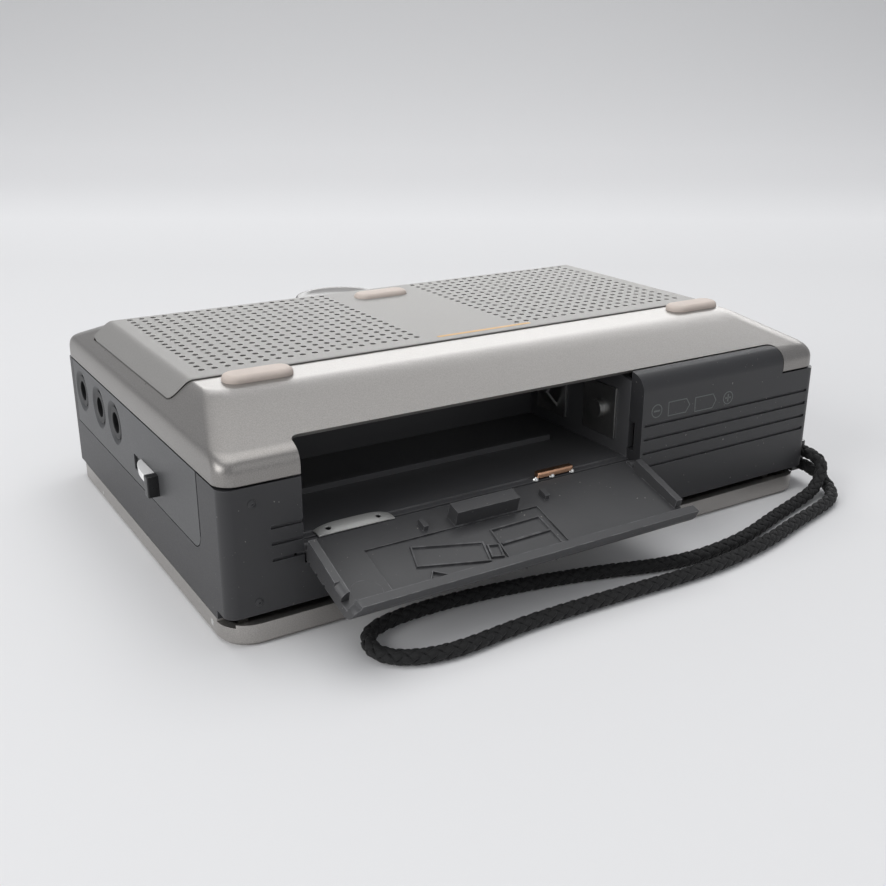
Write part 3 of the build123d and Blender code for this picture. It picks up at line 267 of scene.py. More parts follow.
def arithmetic(operation, swapped=False):
    """A method of Reading that adds one Math node."""

    def method(self, other):
        a, b = (other, self) if swapped else (self, other)
        return self.finish.maths(operation, a, b)

    return method


class Reading:
    """A shader value. Arithmetic on it adds Math nodes."""

    def __init__(self, finish, socket):
        self.finish = finish
        self.socket = socket

    __add__ = __radd__ = arithmetic("ADD")
    __sub__ = arithmetic("SUBTRACT")
    __rsub__ = arithmetic("SUBTRACT", swapped=True)
    __mul__ = arithmetic("MULTIPLY")
    __truediv__ = arithmetic("DIVIDE")
    __pow__ = arithmetic("POWER")
    least = arithmetic("MINIMUM")

    def rise(self, low, high):
        """0 below low, 1 above high, and a smooth step between them."""
        return self.finish.add(
            "ShaderNodeMapRange",
            {"interpolation_type": "SMOOTHSTEP"},
            {"Value": self, "From Min": low, "From Max": high},
        )


class Finish:
    """A node material. Every node but the Math nodes and the output comes from add()."""

    def __init__(self, name):
        self.material = bpy.data.materials.new(name)
        self.material.use_nodes = True
        self.tree = self.material.node_tree
        self.tree.nodes.clear()
        self.place = None

    def add(self, kind, settings=None, inputs=None, output=0):
        """A node of a kind with its settings first, then the values or links of its sockets."""
        node = self.tree.nodes.new(kind)
        for key, value in (settings or {}).items():
            if key == "stops":
                elements = node.color_ramp.elements
                elements[0].color = (*value[0][1], 1)
                elements[1].color = (*value[-1][1], 1)
                for place, colour in value[1:-1]:
                    elements.new(place).color = (*colour, 1)
            else:
                setattr(node, key, value)
        for key, value in (inputs or {}).items():
            self.feed(node.inputs[key], value)
        return Reading(self, node.outputs[output])

    def feed(self, socket, value):
        if isinstance(value, Reading):
            self.tree.links.new(value.socket, socket)
        elif socket.type == "RGBA" and len(value) == 3:
            socket.default_value = (*value, 1)
        else:
            socket.default_value = value

    def maths(self, operation, a, b):
        node = self.tree.nodes.new("ShaderNodeMath")
        node.operation = operation
        self.feed(node.inputs[0], a)
        self.feed(node.inputs[1], b)
        return Reading(self, node.outputs[0])

    def coords(self):
        if self.place is None:
            self.place = self.add("ShaderNodeTexCoord", output="Object")
        return self.place

    def axes(self):
        """The place on the object along X, Y and Z, in millimetres."""
        split = self.add("ShaderNodeSeparateXYZ", {}, {0: self.coords()})
        return [Reading(self, out) * 1000 for out in split.socket.node.outputs]

    def noise(self, grain, detail=2.0, roughness=0.5, stretch=None):
        """Noise from 0 to 1 whose features are about grain millimetres across."""
        vector = self.coords()
        if stretch:
            vector = self.add("ShaderNodeMapping", {}, {"Vector": vector, "Scale": stretch})
        return self.add(
            "ShaderNodeTexNoise",
            {},
            {"Vector": vector, "Scale": 1000.0 / grain, "Detail": detail, "Roughness": roughness},
        )

    def blend(self, share, a, b):
        return self.add("ShaderNodeMix", {"data_type": "RGBA"}, {0: share, 6: a, 7: b}, 2)

    def soft_edges(self, radius):
        """The normal as it would be if edges were rounded by a radius in millimetres."""
        return self.add("ShaderNodeBevel", {"samples": 6}, {"Radius": radius * MM})

    def edges(self, radius, gain):
        """1 on sharp edges and 0 on open faces, from how far a rounded normal leans off the true one."""
        rounded = self.soft_edges(radius)
        true = self.add("ShaderNodeNewGeometry", output="Normal")
        dot = self.add("ShaderNodeVectorMath", {"operation": "DOT_PRODUCT"}, {0: rounded, 1: true}, "Value")
        return ((1 - dot) * gain).least(1.0)

    def spot(self, x, y, z, radius):
        """1 round a point given in millimetres, with an uneven rim."""
        total = sum((a - b) ** 2 for a, b in zip(self.axes(), (x, y, z)))
        ragged = self.noise(0.6 * radius + 0.2, 3.0) - 0.5
        distance = total ** 0.5 + ragged * radius * 1.6
        return 1 - distance.rise(0.6 * radius, radius)

    def bump(self, height, depth, normal=None):
        """A bump whose full height is depth millimetres."""
        inputs = {"Height": height, "Distance": depth * MM}
        if normal is not None:
            inputs["Normal"] = normal
        return self.add("ShaderNodeBump", {}, inputs)

    def close(self, colour, roughness, metallic=0.0, normal=None, **fixed):
        """The surface shader itself. What is in fixed is set on its own sockets."""
        inputs = {"Base Color": colour, "Roughness": roughness, "Metallic": metallic}
        if normal is not None:
            inputs["Normal"] = normal
        inputs.update({key.replace("_", " "): value for key, value in fixed.items()})
        shader = self.add("ShaderNodeBsdfPrincipled", {}, inputs)
        out = self.tree.nodes.new("ShaderNodeOutputMaterial")
        self.tree.links.new(shader.socket, out.inputs["Surface"])
        return self.material


def colours():
    return bpy.context.scene.recorder_colours


def sizes():
    return bpy.context.scene.recorder_sizes


def lit(colour, factor):
    """A colour made lighter or darker by a factor."""
    return tuple(min(1.0, c * factor) for c in colour)


def silver_paint(f, gain=1.0, glinting_dents=()):
    """Champagne silver paint: fine metal flakes, a slight orange peel, small chips, and sunk dents with a
    light grey spot that is partly bare metal and partly a painted glint.
    """
    # A gain above 1 paints light into the silver's tone; the lid's copy takes 1.4.
    tone = lit(colours().silver, gain)
    flakes = f.noise(0.16, 1.0)
    cloud = f.noise(9.0)
    peel = f.noise(0.55)
    colour = f.blend(flakes.rise(0.3, 0.7), lit(tone, 0.86), lit(tone, 1.1))
    colour = f.blend(cloud * 0.25, colour, lit(tone, 0.9))
    chips = f.noise(0.45, 0.0).rise(0.79, 0.82) * f.edges(0.5, 6.0)
    colour = f.blend(chips, colour, (0.055, 0.05, 0.047))
    roughness = 0.3 + flakes * 0.12 + chips * 0.2
    height = peel * 0.6 + flakes * 0.4
    # Each dent is sunk by the bump and painted light grey: partly bare metal, partly a painted glint.
    for x, y, z, radius in glinting_dents:
        dent = f.spot(x, y, z, radius)
        colour = f.blend(dent * 0.75, colour, (0.78, 0.79, 0.78))
        height = height - dent * 6.0
    return f.close(colour, roughness, 0.78 - chips * 0.7, f.bump(height, 0.02))


def grille_sheet(f):
    """Satin painted sheet metal with a very fine grain, and a painted highlight along its edges."""
    tone = colours().grille
    flakes = f.noise(0.14, 1.0)
    cloud = f.noise(14.0)
    colour = f.blend(flakes.rise(0.25, 0.75), lit(tone, 0.9), lit(tone, 1.07))
    colour = f.blend(cloud * 0.3, colour, lit(tone, 0.93))
    # Edges painted 1.3 times lighter: a painted highlight, the bright rim the plate's edge catches.
    rim = f.edges(0.1, 5.0)
    colour = f.blend(rim * 0.25, colour, lit(tone, 1.3))
    return f.close(colour, 0.5 + flakes * 0.12 - rim * 0.1, 0.45, f.bump(flakes, 0.006))


def moulded(f, tone, depth=0.012, roughness=0.44, wear_and_highlight=0.5, dust=0.0):
    """Moulded plastic: a spark-eroded grain, lighter edges that are partly wear and partly a painted
    highlight, and a few dust specks.
    """
    fine = f.noise(0.22, 3.0, 0.6)
    cloud = f.noise(11.0, 3.0)
    colour = f.blend(cloud, lit(tone, 0.86), lit(tone, 1.14))
    # Edges painted up to 4.2 times lighter: partly wear, partly a painted highlight along each edge.
    rim = f.edges(0.22, 9.0) * f.noise(1.6, 3.0).rise(0.35, 0.75)
    colour = f.blend(rim * wear_and_highlight, colour, lit(tone, 4.2))
    if dust:
        specks = f.noise(0.34, 0.0).rise(0.845, 0.86) * f.noise(3.0).rise(0.4, 0.6)
        colour = f.blend(specks * dust, colour, (0.42, 0.40, 0.37))
    rough = roughness + (fine - 0.5) * 0.16 - rim * 0.1
    return f.close(colour, rough, 0.0, f.bump(fine, depth))


def soft_rubber(f):
    """Beige-pink rubber foot: matt, with a faint grain and a grubby tone."""
    tone = colours().feet
    fine = f.noise(0.2, 3.0)
    cloud = f.noise(2.4, 3.0)
    colour = f.blend(cloud, lit(tone, 0.86), lit(tone, 1.08))
    return f.close(colour, 0.62 + fine * 0.1, 0.0, f.bump(fine, 0.02))


def felt_cloth(f):
    """Black felt: short tangled fibres."""
    fibres = f.noise(0.12, 4.0, 0.7)
    colour = f.blend(fibres, (0.006, 0.006, 0.007), (0.035, 0.035, 0.036))
    return f.close(colour, 0.95, 0.0, f.bump(fibres, 0.08), Sheen_Weight=0.3)


def rolled_metal(f, tone, roughness=0.3, stretch=(1, 14, 14), metallic=1.0):
    """Bare metal with drawn marks along one axis and a few stains."""
    marks = f.noise(0.7, 3.0, 0.6, stretch)
    stain = f.noise(3.5, 3.0)
    colour = f.blend(marks, lit(tone, 0.82), lit(tone, 1.08))
    colour = f.blend(stain.rise(0.5, 0.8) * 0.4, colour, lit(tone, 0.6))
    normal = f.bump(marks, 0.004, f.soft_edges(0.12))
    return f.close(colour, roughness + marks * 0.16, metallic, normal)


def turned_metal(f, tone, roughness=0.22):
    """Turned or ground metal with fine even marks."""
    marks = f.noise(0.12, 2.0, 0.5, (1, 1, 9))
    colour = f.blend(marks, lit(tone, 0.9), lit(tone, 1.05))
    return f.close(colour, roughness + marks * 0.1, 1.0, f.bump(marks, 0.003, f.soft_edges(0.1)))


def plain_moulding(f, tone, roughness, **fixed):
    """Small inner moulding with a slight grain and softened edges."""
    fine = f.noise(0.25, 3.0)
    cloud = f.noise(5.0)
    colour = f.blend(cloud, lit(tone, 0.88), lit(tone, 1.1))
    return f.close(colour, roughness + fine * 0.12, 0.0, f.bump(fine, 0.008, f.soft_edges(0.12)), **fixed)


def board_laminate(f):
    """Brown laminate with woven fibres and darker tracks."""
    weave = f.noise(0.5, stretch=(1, 6, 1))
    tracks = f.noise(4.0, 1.0).rise(0.5, 0.52)
    colour = f.blend(weave, (0.17, 0.10, 0.035), (0.26, 0.16, 0.06))
    colour = f.blend(tracks * 0.5, colour, (0.10, 0.075, 0.02))
    return f.close(colour, 0.45, 0.0, f.bump(tracks, 0.03))


def clear_sheet(f):
    """Clear plastic with hairline scratches."""
    scratches = f.noise(0.3, 3.0, 0.6, (1, 20, 1)).rise(0.62, 0.7)
    return f.close((0.86, 0.9, 0.92), 0.06 + scratches * 0.25, Transmission_Weight=0.9, IOR=1.49)


def braided_cord(f):
    """Black polyester braid: fine fibres along each strand, from the strand's own map."""
    map_place = f.add("ShaderNodeTexCoord", output="UV")
    stretched = f.add("ShaderNodeMapping", {}, {"Vector": map_place, "Scale": (1.0, 9.0, 1.0)})
    fibres = f.add(
        "ShaderNodeTexNoise", {}, {"Vector": stretched, "Scale": 3.0, "Detail": 4.0, "Roughness": 0.65}
    )
    cloud = f.noise(6.0)
    tone = colours().cord
    colour = f.blend(fibres.rise(0.3, 0.75), lit(tone, 0.45), lit(tone, 1.9))
    colour = f.blend(cloud * 0.4, colour, lit(tone, 0.7))
    return f.close(colour, 0.62 + fibres * 0.2, 0.0, f.bump(fibres, 0.05), Sheen_Weight=0.05)


def printed(f, tone):
    """Thin silk-screened ink, slightly uneven."""
    patch = f.noise(0.35, 3.0)
    colour = f.blend(patch, lit(tone, 0.8), lit(tone, 1.1))
    return f.close(colour, 0.5 + patch * 0.1)


def paper(f):
    """Matt paper with painted light and shade: its tone follows the distance behind the recorder, as in the
    photograph.
    """
    fibre = f.noise(3.0, 3.0)
    x, y, _ = f.axes()
    away = camera_away()
    distance = (x * away[0] + y * away[1]) / PAPER_REACH
    # The ramp paints light and shade into the paper: lighter and darker bands with distance behind the
    # recorder.
    stops = [(place, (tone, tone * 0.998, tone)) for place, tone in PAPER_PAINTED_LIGHT]
    colour = f.add("ShaderNodeValToRGB", {"stops": stops}, {"Fac": distance})
    colour = f.blend(fibre * 0.04, colour, (0.70, 0.70, 0.70))
    return f.close(colour, 0.92, Specular_IOR_Level=0.15)


FINISHES = {
    "paper": paper,
    "silver_paint": silver_paint,
    # The lid's silver is the shell's paint made 1.4 times lighter: painted light, as well as its dents.
    "lid_paint_painted_lighter": lambda f: silver_paint(f, 1.4, LID_DENTS),
    "grille_sheet": grille_sheet,
    "frame_plastic": lambda f: moulded(f, colours().frame, wear_and_highlight=0.55, dust=0.5),
    "door_plastic": lambda f: moulded(f, colours().door, wear_and_highlight=0.8, dust=1.0),
    "bay_plastic": lambda f: moulded(f, (0.075, 0.075, 0.078), wear_and_highlight=0.2, roughness=0.36),
    "panel_plastic": lambda f: moulded(f, colours().panel, wear_and_highlight=0.3, dust=0.4),
    "black_gloss": lambda f: moulded(f, (0.009, 0.009, 0.010), 0.004, 0.3, 0.2),
    "jack_black": lambda f: moulded(f, (0.006, 0.006, 0.0065), 0.006, 0.5, 0.05),
    "dial_grey": lambda f: moulded(f, (0.27, 0.262, 0.255), 0.006, 0.36, 0.1),
    "key_plastic": lambda f: moulded(f, (0.030, 0.030, 0.032), roughness=0.36, wear_and_highlight=0.4),
    "foot_rubber": soft_rubber,
    "felt_cloth": felt_cloth,
    "strip_steel": lambda f: rolled_metal(f, (0.62, 0.62, 0.60), 0.36, metallic=0.6),
    "spring_steel": lambda f: rolled_metal(f, (0.46, 0.46, 0.45)),
    "zinc_sheet": lambda f: rolled_metal(f, (0.52, 0.52, 0.53), 0.34),
    "copper_bar": lambda f: rolled_metal(f, (0.80, 0.47, 0.30), 0.24, (14, 1, 1)),
    "solder_bead": lambda f: turned_metal(f, (0.86, 0.86, 0.84), 0.18),
    "ground_shaft": lambda f: turned_metal(f, (0.72, 0.72, 0.73), 0.12),
    "turned_brass": lambda f: turned_metal(f, (0.66, 0.50, 0.24)),
    "head_metal": lambda f: turned_metal(f, (0.70, 0.69, 0.66), 0.2),
    "white_gloss": lambda f: plain_moulding(f, (0.92, 0.91, 0.90), 0.12, Coat_Weight=0.6),
    "white_moulding": lambda f: plain_moulding(f, (0.72, 0.72, 0.70), 0.35),
    "chip_black": lambda f: plain_moulding(f, (0.018, 0.018, 0.018), 0.5),
    "dark_rubber": lambda f: plain_moulding(f, (0.016, 0.016, 0.016), 0.7),
    "sleeve_blue": lambda f: plain_moulding(f, (0.03, 0.05, 0.16), 0.3),
    "board_laminate": board_laminate,
    "clear_sheet": clear_sheet,
    "braided_cord": braided_cord,
    "gold_ink": lambda f: printed(f, (0.60, 0.36, 0.13)),
    "grey_ink": lambda f: printed(f, (0.115, 0.125, 0.12)),
}
MADE = {}


def finish(name):
    """The named material, made once."""
    if name not in MADE:
        MADE[name] = FINISHES[name](Finish(name))
    return MADE[name]


def camera_forward():
    """The direction in which the camera looks, from its turn and its height angle."""
    level = cos(CAMERA_HEIGHT_ANGLE)
    return np.array([-sin(CAMERA_AZIMUTH) * level, cos(CAMERA_AZIMUTH) * level, -sin(CAMERA_HEIGHT_ANGLE)])


def camera_away():
    """The same direction over the floor, of length 1."""
    ahead = camera_forward()[:2]
    return ahead / np.linalg.norm(ahead)


def node_box(node):
    """Lowest and highest corners of a solid, in millimetres."""
    return tuple(np.array(corner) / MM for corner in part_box(node))


def put_mesh(name, points, faces, material, smooth_angle=30.0):
    """A mesh object from points in millimetres and faces as lists of point numbers."""
    mesh = bpy.data.meshes.new(name)
    mesh.from_pydata((np.asarray(points, float) * MM).tolist(), [], faces)
    mesh.update()
    return settle(name, mesh, material, smooth_angle)


def shade(mesh, angle):
    """Smooth faces, with sharp edges over an angle in degrees, or with none for 0."""
    mesh.polygons.foreach_set("use_smooth", np.ones(len(mesh.polygons), bool))
    if angle:
        mesh.set_sharp_from_angle(angle=radians(angle))


def settle(name, mesh, material, smooth_angle=30.0):
    """Links a mesh as a piece at the origin, smooth but for edges over the angle."""
    shade(mesh, smooth_angle)
    mesh.materials.clear()
    mesh.materials.append(finish(material))
    piece = bpy.data.objects.new(name, mesh)
    bpy.context.scene.collection.objects.link(piece)
    return piece


def grid_faces(rows, columns, wrap=False, closed=False, start=0):
    """Quads of a grid; wrap joins the last column to the first, and closed the last row."""
    i, j = np.meshgrid(np.arange(rows - (not closed)), np.arange(columns - (not wrap)), indexing="ij")
    low = i * columns + start
    high = (i + 1) % rows * columns + start
    right = (j + 1) % columns
    return np.stack([low + j, low + right, high + right, high + j], -1).reshape(-1, 4).tolist()


def capped(loops):
    """Points and faces of closed loops of equal count, from the first to the last, with flat ends."""
    loops = np.asarray(loops, float)
    rows, columns = loops.shape[:2]
    faces = grid_faces(rows, columns, wrap=True)
    faces.append(list(range(columns))[::-1])
    faces.append(list(range((rows - 1) * columns, rows * columns)))
    return loops.reshape(-1, 3), faces


def lofted(name, loops, material, smooth_angle=30.0):
    """A piece carried through closed loops, with flat ends."""
    return put_mesh(name, *capped(loops), material, smooth_angle)


def rounded_loop(x0, x1, y0, y1, radius, steps=10):
    """A rectangle with round corners: each corner is a quarter circle of its own centre.

    Points run anticlockwise as seen from above, steps to a corner.
    """
    angle = np.linspace(0, pi / 2, steps)
    turns = np.concatenate([angle + k * pi / 2 for k in range(4)])
    cx = np.repeat([x1 - radius, x0 + radius, x0 + radius, x1 - radius], steps)
    cy = np.repeat([y1 - radius, y1 - radius, y0 + radius, y0 + radius], steps)
    return np.stack([cx + radius * np.cos(turns), cy + radius * np.sin(turns)], -1)


def at_height(loop, z):
    return np.column_stack([loop, np.full(len(loop), z)])


def at_heights(loop, heights):
    """The same flat loop at each height."""
    return [at_height(loop, z) for z in heights]


def bent(a, b, c, count):
    """Points on the curve that leaves a towards b and ends at c, from its quadratic formula."""
    t = np.linspace(0, 1, count)[:, None]
    a, b, c = (np.asarray(p, float) for p in (a, b, c))
    return (1 - t) ** 2 * a + 2 * t * (1 - t) * b + t * t * c


def shell_loops(wall):
    """Loops of the upper shell from the seam to its flat top.

    A loop is a rounded rectangle drawn in by a share of the three slopes, and the share and
    the height come from a profile: a band, a soft ridge, a straight slope and a soft brow.
    """
    top = TOP - wall
    band = BAND_TOP - 1.15 * wall
    slopes = [s * (top - band) / (TOP - BAND_TOP) for s in SLOPES]
    start = SEAM + SEAM_GAP
    low = [(0.012 if not wall else 0.0, start), (0.0, start + 0.18)]
    ridge = bent((0, band - 2.1), (0, band), (0.15, band + 0.15 * (top - band)), 9)
    brow = bent((0.76, band + 0.76 * (top - band)), (1, top), (1.13, top), 10)
    loops = []
    for share, z in np.vstack([low, ridge, brow]):
        side, front, back = (s * share for s in slopes)
        loop = rounded_loop(
            -HALF_LENGTH + wall + side,
            HALF_LENGTH - wall - side,
            -HALF_DEPTH + wall + front,
            HALF_DEPTH - wall - back,
            CORNER + 1.4 * np.sin(pi * min(share, 1.0)) - wall,
        )
        loops.append(at_height(loop, z))
    return loops


def plate_height(x):
    """Height of the grille plate's outer face over X: the lower of the flat and the slope, rounded."""
    slope = (TOP - BAND_TOP) / SLOPES[0]
    falling = TOP + PLATE_RISE * 1.28 - (np.abs(x) - (HALF_LENGTH - SLOPES[0])) * slope
    blend = 0.55
    share = np.clip(0.5 + 0.5 * (falling - PLATE_TOP) / blend, 0, 1)
    return falling * (1 - share) + PLATE_TOP * share - blend * share * (1 - share)


def plate_points(x, y, gap, drop):
    """A grid over the plate's face, wider by a gap all round and lower by a drop.

    Points of a corner that lie outside its circle are drawn in to it.
    """
    x, y = np.meshgrid(x, y, indexing="xy")
    radius = PLATE_CORNER + gap
    front = PLATE_FRONT - gap
    back = PLATE_BACK + gap
    middle = (front + back) / 2
    cx = PLATE_HALF + gap - radius
    cy = (back - front) / 2 - radius
    dx = np.abs(x) - cx
    dy = np.abs(y - middle) - cy
    far = np.hypot(dx, dy)
    outside = (dx > 0) & (dy > 0) & (far > radius)
    scale = radius / np.maximum(far, 1e-9)
    x = np.where(outside, np.sign(x) * (cx + dx * scale), x)
    y = np.where(outside, middle + np.sign(y - middle) * (cy + dy * scale), y)
    return np.stack([x, y, plate_height(x) - drop], -1).reshape(-1, 3)


def modify(piece, kind, **settings):
    """Runs one modifier over a piece and puts what it makes into the piece's own mesh."""
    step = piece.modifiers.new(kind.lower(), kind)
    for key, value in settings.items():
        setattr(step, key, value)
    bpy.context.view_layer.update()
    shown = piece.evaluated_get(bpy.context.evaluated_depsgraph_get())
    mesh = bpy.data.meshes.new_from_object(shown)
    piece.modifiers.clear()
    old = piece.data
    piece.data = mesh
    bpy.data.meshes.remove(old)


def cut_away(piece, cutters):
    """Cuts closed meshes out of a piece and removes them."""
    for cutter in cutters:
        modify(piece, "BOOLEAN", object=cutter, operation="DIFFERENCE", solver="EXACT")
        bpy.data.objects.remove(cutter)


def thicken(piece, thickness):
    """Gives a sheet its thickness, below its face."""
    modify(piece, "SOLIDIFY", thickness=thickness * MM, offset=-1.0)


def soften(piece, width, segments=2, angle=32.0, smooth_angle=40.0):
    """Rounds edges sharper than the angle and leaves the faces flat between them."""
    limit = {"limit_method": "ANGLE", "angle_limit": radians(angle), "use_clamp_overlap": True}
    modify(piece, "BEVEL", width=width * MM, segments=segments, miter_outer="MITER_ARC", **limit)
    shade(piece.data, smooth_angle)
    modify(piece, "WEIGHTED_NORMAL", keep_sharp=True)
    return piece


def dressed(node, material, width=0.12, segments=2, move=None):
    """A merged copy of a solid whose sharp edges are rounded; it stands for the solid.

    move may shift its points, given and returned in millimetres.
    """
    mesh = NODES[node].data.copy()
    if move:
        points = np.empty(len(mesh.vertices) * 3)
        mesh.vertices.foreach_get("co", points)
        mesh.vertices.foreach_set("co", (move(points.reshape(-1, 3) / MM) * MM).ravel())
    work = bmesh.new()
    work.from_mesh(mesh)
    bmesh.ops.remove_doubles(work, verts=work.verts, dist=0.004 * MM)
    bmesh.ops.dissolve_limit(
        work, angle_limit=radians(1.0), verts=work.verts, edges=work.edges, delimit={"NORMAL"}
    )
    work.to_mesh(mesh)
    work.free()
    for layer in list(mesh.uv_layers):
        mesh.uv_layers.remove(layer)
    if mesh.has_custom_normals:
        mesh.normals_split_custom_set([(0, 0, 0)] * len(mesh.loops))
    piece = soften(settle(node + "_dressed", mesh, material), width, segments)
    return stand_in(piece, node)


def stand_in(piece, node):
    """Lets the piece stand for a solid, on the solid's own body."""
    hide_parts(node)
    return seat(piece, NODES[node]["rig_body"])


def seat(piece, body):
    """Rides the piece on its body."""
    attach(piece, body)
    return piece


def paint_nodes(names, material):
    """Gives solids that stay as they are their finish."""
    for name in names:
        mesh = NODES[name].data
        mesh.materials.clear()
        mesh.materials.append(finish(material))


def frame_ring(points, width, place, low, high):
    """Points and faces of a thin raised line round a closed outline.

    Inner and outer outlines are the points moved half the width along the mean of the two
    side normals, lengthened so that the line keeps its width round a corner. place turns two
    flat coordinates and a height into a point in space.
    """
    points = np.asarray(points, float)
    ahead = np.roll(points, -1, 0) - points
    ahead /= np.linalg.norm(ahead, axis=1)[:, None]
    normal = np.stack([ahead[:, 1], -ahead[:, 0]], -1)
    mean = normal + np.roll(normal, 1, 0)
    mean /= np.einsum("ij,ij->i", mean, normal)[:, None]
    loops = []
    for share, height in ((0.5, low), (0.25, high), (-0.25, high), (-0.5, low)):
        line = points + mean * width * share
        loops.append(place(line[:, 0], line[:, 1], height))
    return np.concatenate(loops), grid_faces(4, len(points), wrap=True, closed=True)


def joined(name, parts, material, smooth_angle=30.0):
    """One mesh from several (points, faces) pairs."""
    points = []
    faces = []
    total = 0
    for part_points, part_faces in parts:
        points.append(np.asarray(part_points, float))
        faces += [[k + total for k in face] for face in part_faces]
        total += len(part_points)
    return put_mesh(name, np.concatenate(points), faces, material, smooth_angle)


def pill(x, y, z0, z1, length, depth, edge, corner, steps=10):
    """Points and faces of a low pad: a rounded rectangle whose rim falls in a quarter circle."""
    angle = np.linspace(0, pi / 2, 7)
    inset = np.concatenate([[0.0], edge * (1 - np.cos(angle))])
    height = np.concatenate([[z0], z1 - edge + edge * np.sin(angle)])
    half_x = length / 2
    half_y = depth / 2
    loops = []
    for e, z in zip(inset, height):
        plan = rounded_loop(x - half_x + e, x + half_x - e, y - half_y + e, y + half_y - e, corner - e, steps)
        loops.append(at_height(plan, z))
    return capped(loops)


def turned(profile, sides, centre, axis="Z"):
    """Points and faces of a closed profile of (radius, height) turned round an axis."""
    profile = np.asarray(profile, float)
    angle = np.linspace(0, 2 * pi, sides, endpoint=False)
    radius = profile[:, 0][:, None]
    a = radius * np.cos(angle)
    b = radius * np.sin(angle)
    h = np.repeat(profile[:, 1][:, None], sides, 1)
    order = {"Z": (a, b, h), "Y": (b, h, a)}[axis]
    return capped(np.stack(order, -1) + np.asarray(centre, float))


def door_place(x, along, off):
    """A point on the open door: along runs from the hinge, and off stands off the sheet's middle."""
    y = DOOR_AXIS[0] + off * cos(DOOR_ANGLE) - along * sin(DOOR_ANGLE)
    z = DOOR_AXIS[1] + off * sin(DOOR_ANGLE) + along * cos(DOOR_ANGLE)
    return np.stack([x, y, z], -1)


def front_place(x, z, height):
    """A point on the case's front face, standing off it by height."""
    return np.stack([x, np.full_like(x, -HALF_DEPTH - height), z], -1)


def circle_points(x, y, radius, count):
    turn = np.linspace(0, 2 * pi, count, endpoint=False)
    return np.stack([x + radius * np.cos(turn), y + radius * np.sin(turn)], -1)


def bar_points(x, y, half_x, half_y):
    return [(x + a * half_x, y + b * half_y) for a, b in ((-1, -1), (1, -1), (1, 1), (-1, 1))]


def unit_rows(vectors):
    return vectors / np.linalg.norm(vectors, axis=1)[:, None]


def tint(label, note, default):
    return FloatVectorProperty(name=label, description=note, subtype="COLOR", default=default)


def millimetres(label, note, default, least=-60.0, most=60.0):
    note += ", in millimetres"
    return FloatProperty(name=label, description=note, default=default, min=least, max=most)


def number(label, note, default, least, most):
    return IntProperty(name=label, description=note, default=default, min=least, max=most)


class RecorderSizes(PropertyGroup):
    """Sizes that can be changed without touching the solids."""

    hole_diameter: millimetres("Hole diameter", "Hole of the grille", 1.06, 0.4, 1.8)
    hole_columns: number("Hole columns", "Columns in one field", 19, 2, 24)
    hole_rows: number("Hole rows", "Rows in one field", 18, 2, 24)
    field_inner: millimetres("Field start", "First column from the middle", 10.45)
    field_outer: millimetres("Field end", "Last column from the middle", 48.8)
    field_front: millimetres("Field front", "First row", -11.2)
    field_back: millimetres("Field back", "Last row", 26.2)
    dial_teeth: number("Dial teeth", "Ribs round the thumb wheel", 54, 12, 120)
    edge: millimetres("Edge", "Rounding of the frame", 0.18, 0.02, 0.6)
    braid_pitch: millimetres("Braid pitch", "Length of one turn of a strand", 9.0, 4.0)


class RecorderColours(PropertyGroup):
    """Base colours of the finishes."""

    silver: tint("Silver paint", "Shell and lid", (0.285, 0.273, 0.260))
    grille: tint("Grille", "Perforated plate", (0.31, 0.302, 0.29))
    frame: tint("Frame", "Dark middle frame", (0.027, 0.027, 0.029))
    door: tint("Door", "Battery door", (0.054, 0.054, 0.056))
    panel: tint("Side panel", "Panel with the jacks", (0.064, 0.065, 0.067))
    feet: tint("Feet", "Rubber feet", (0.60, 0.52, 0.465))
    cord: tint("Cord", "Wrist strap", (0.0022, 0.0022, 0.0025))


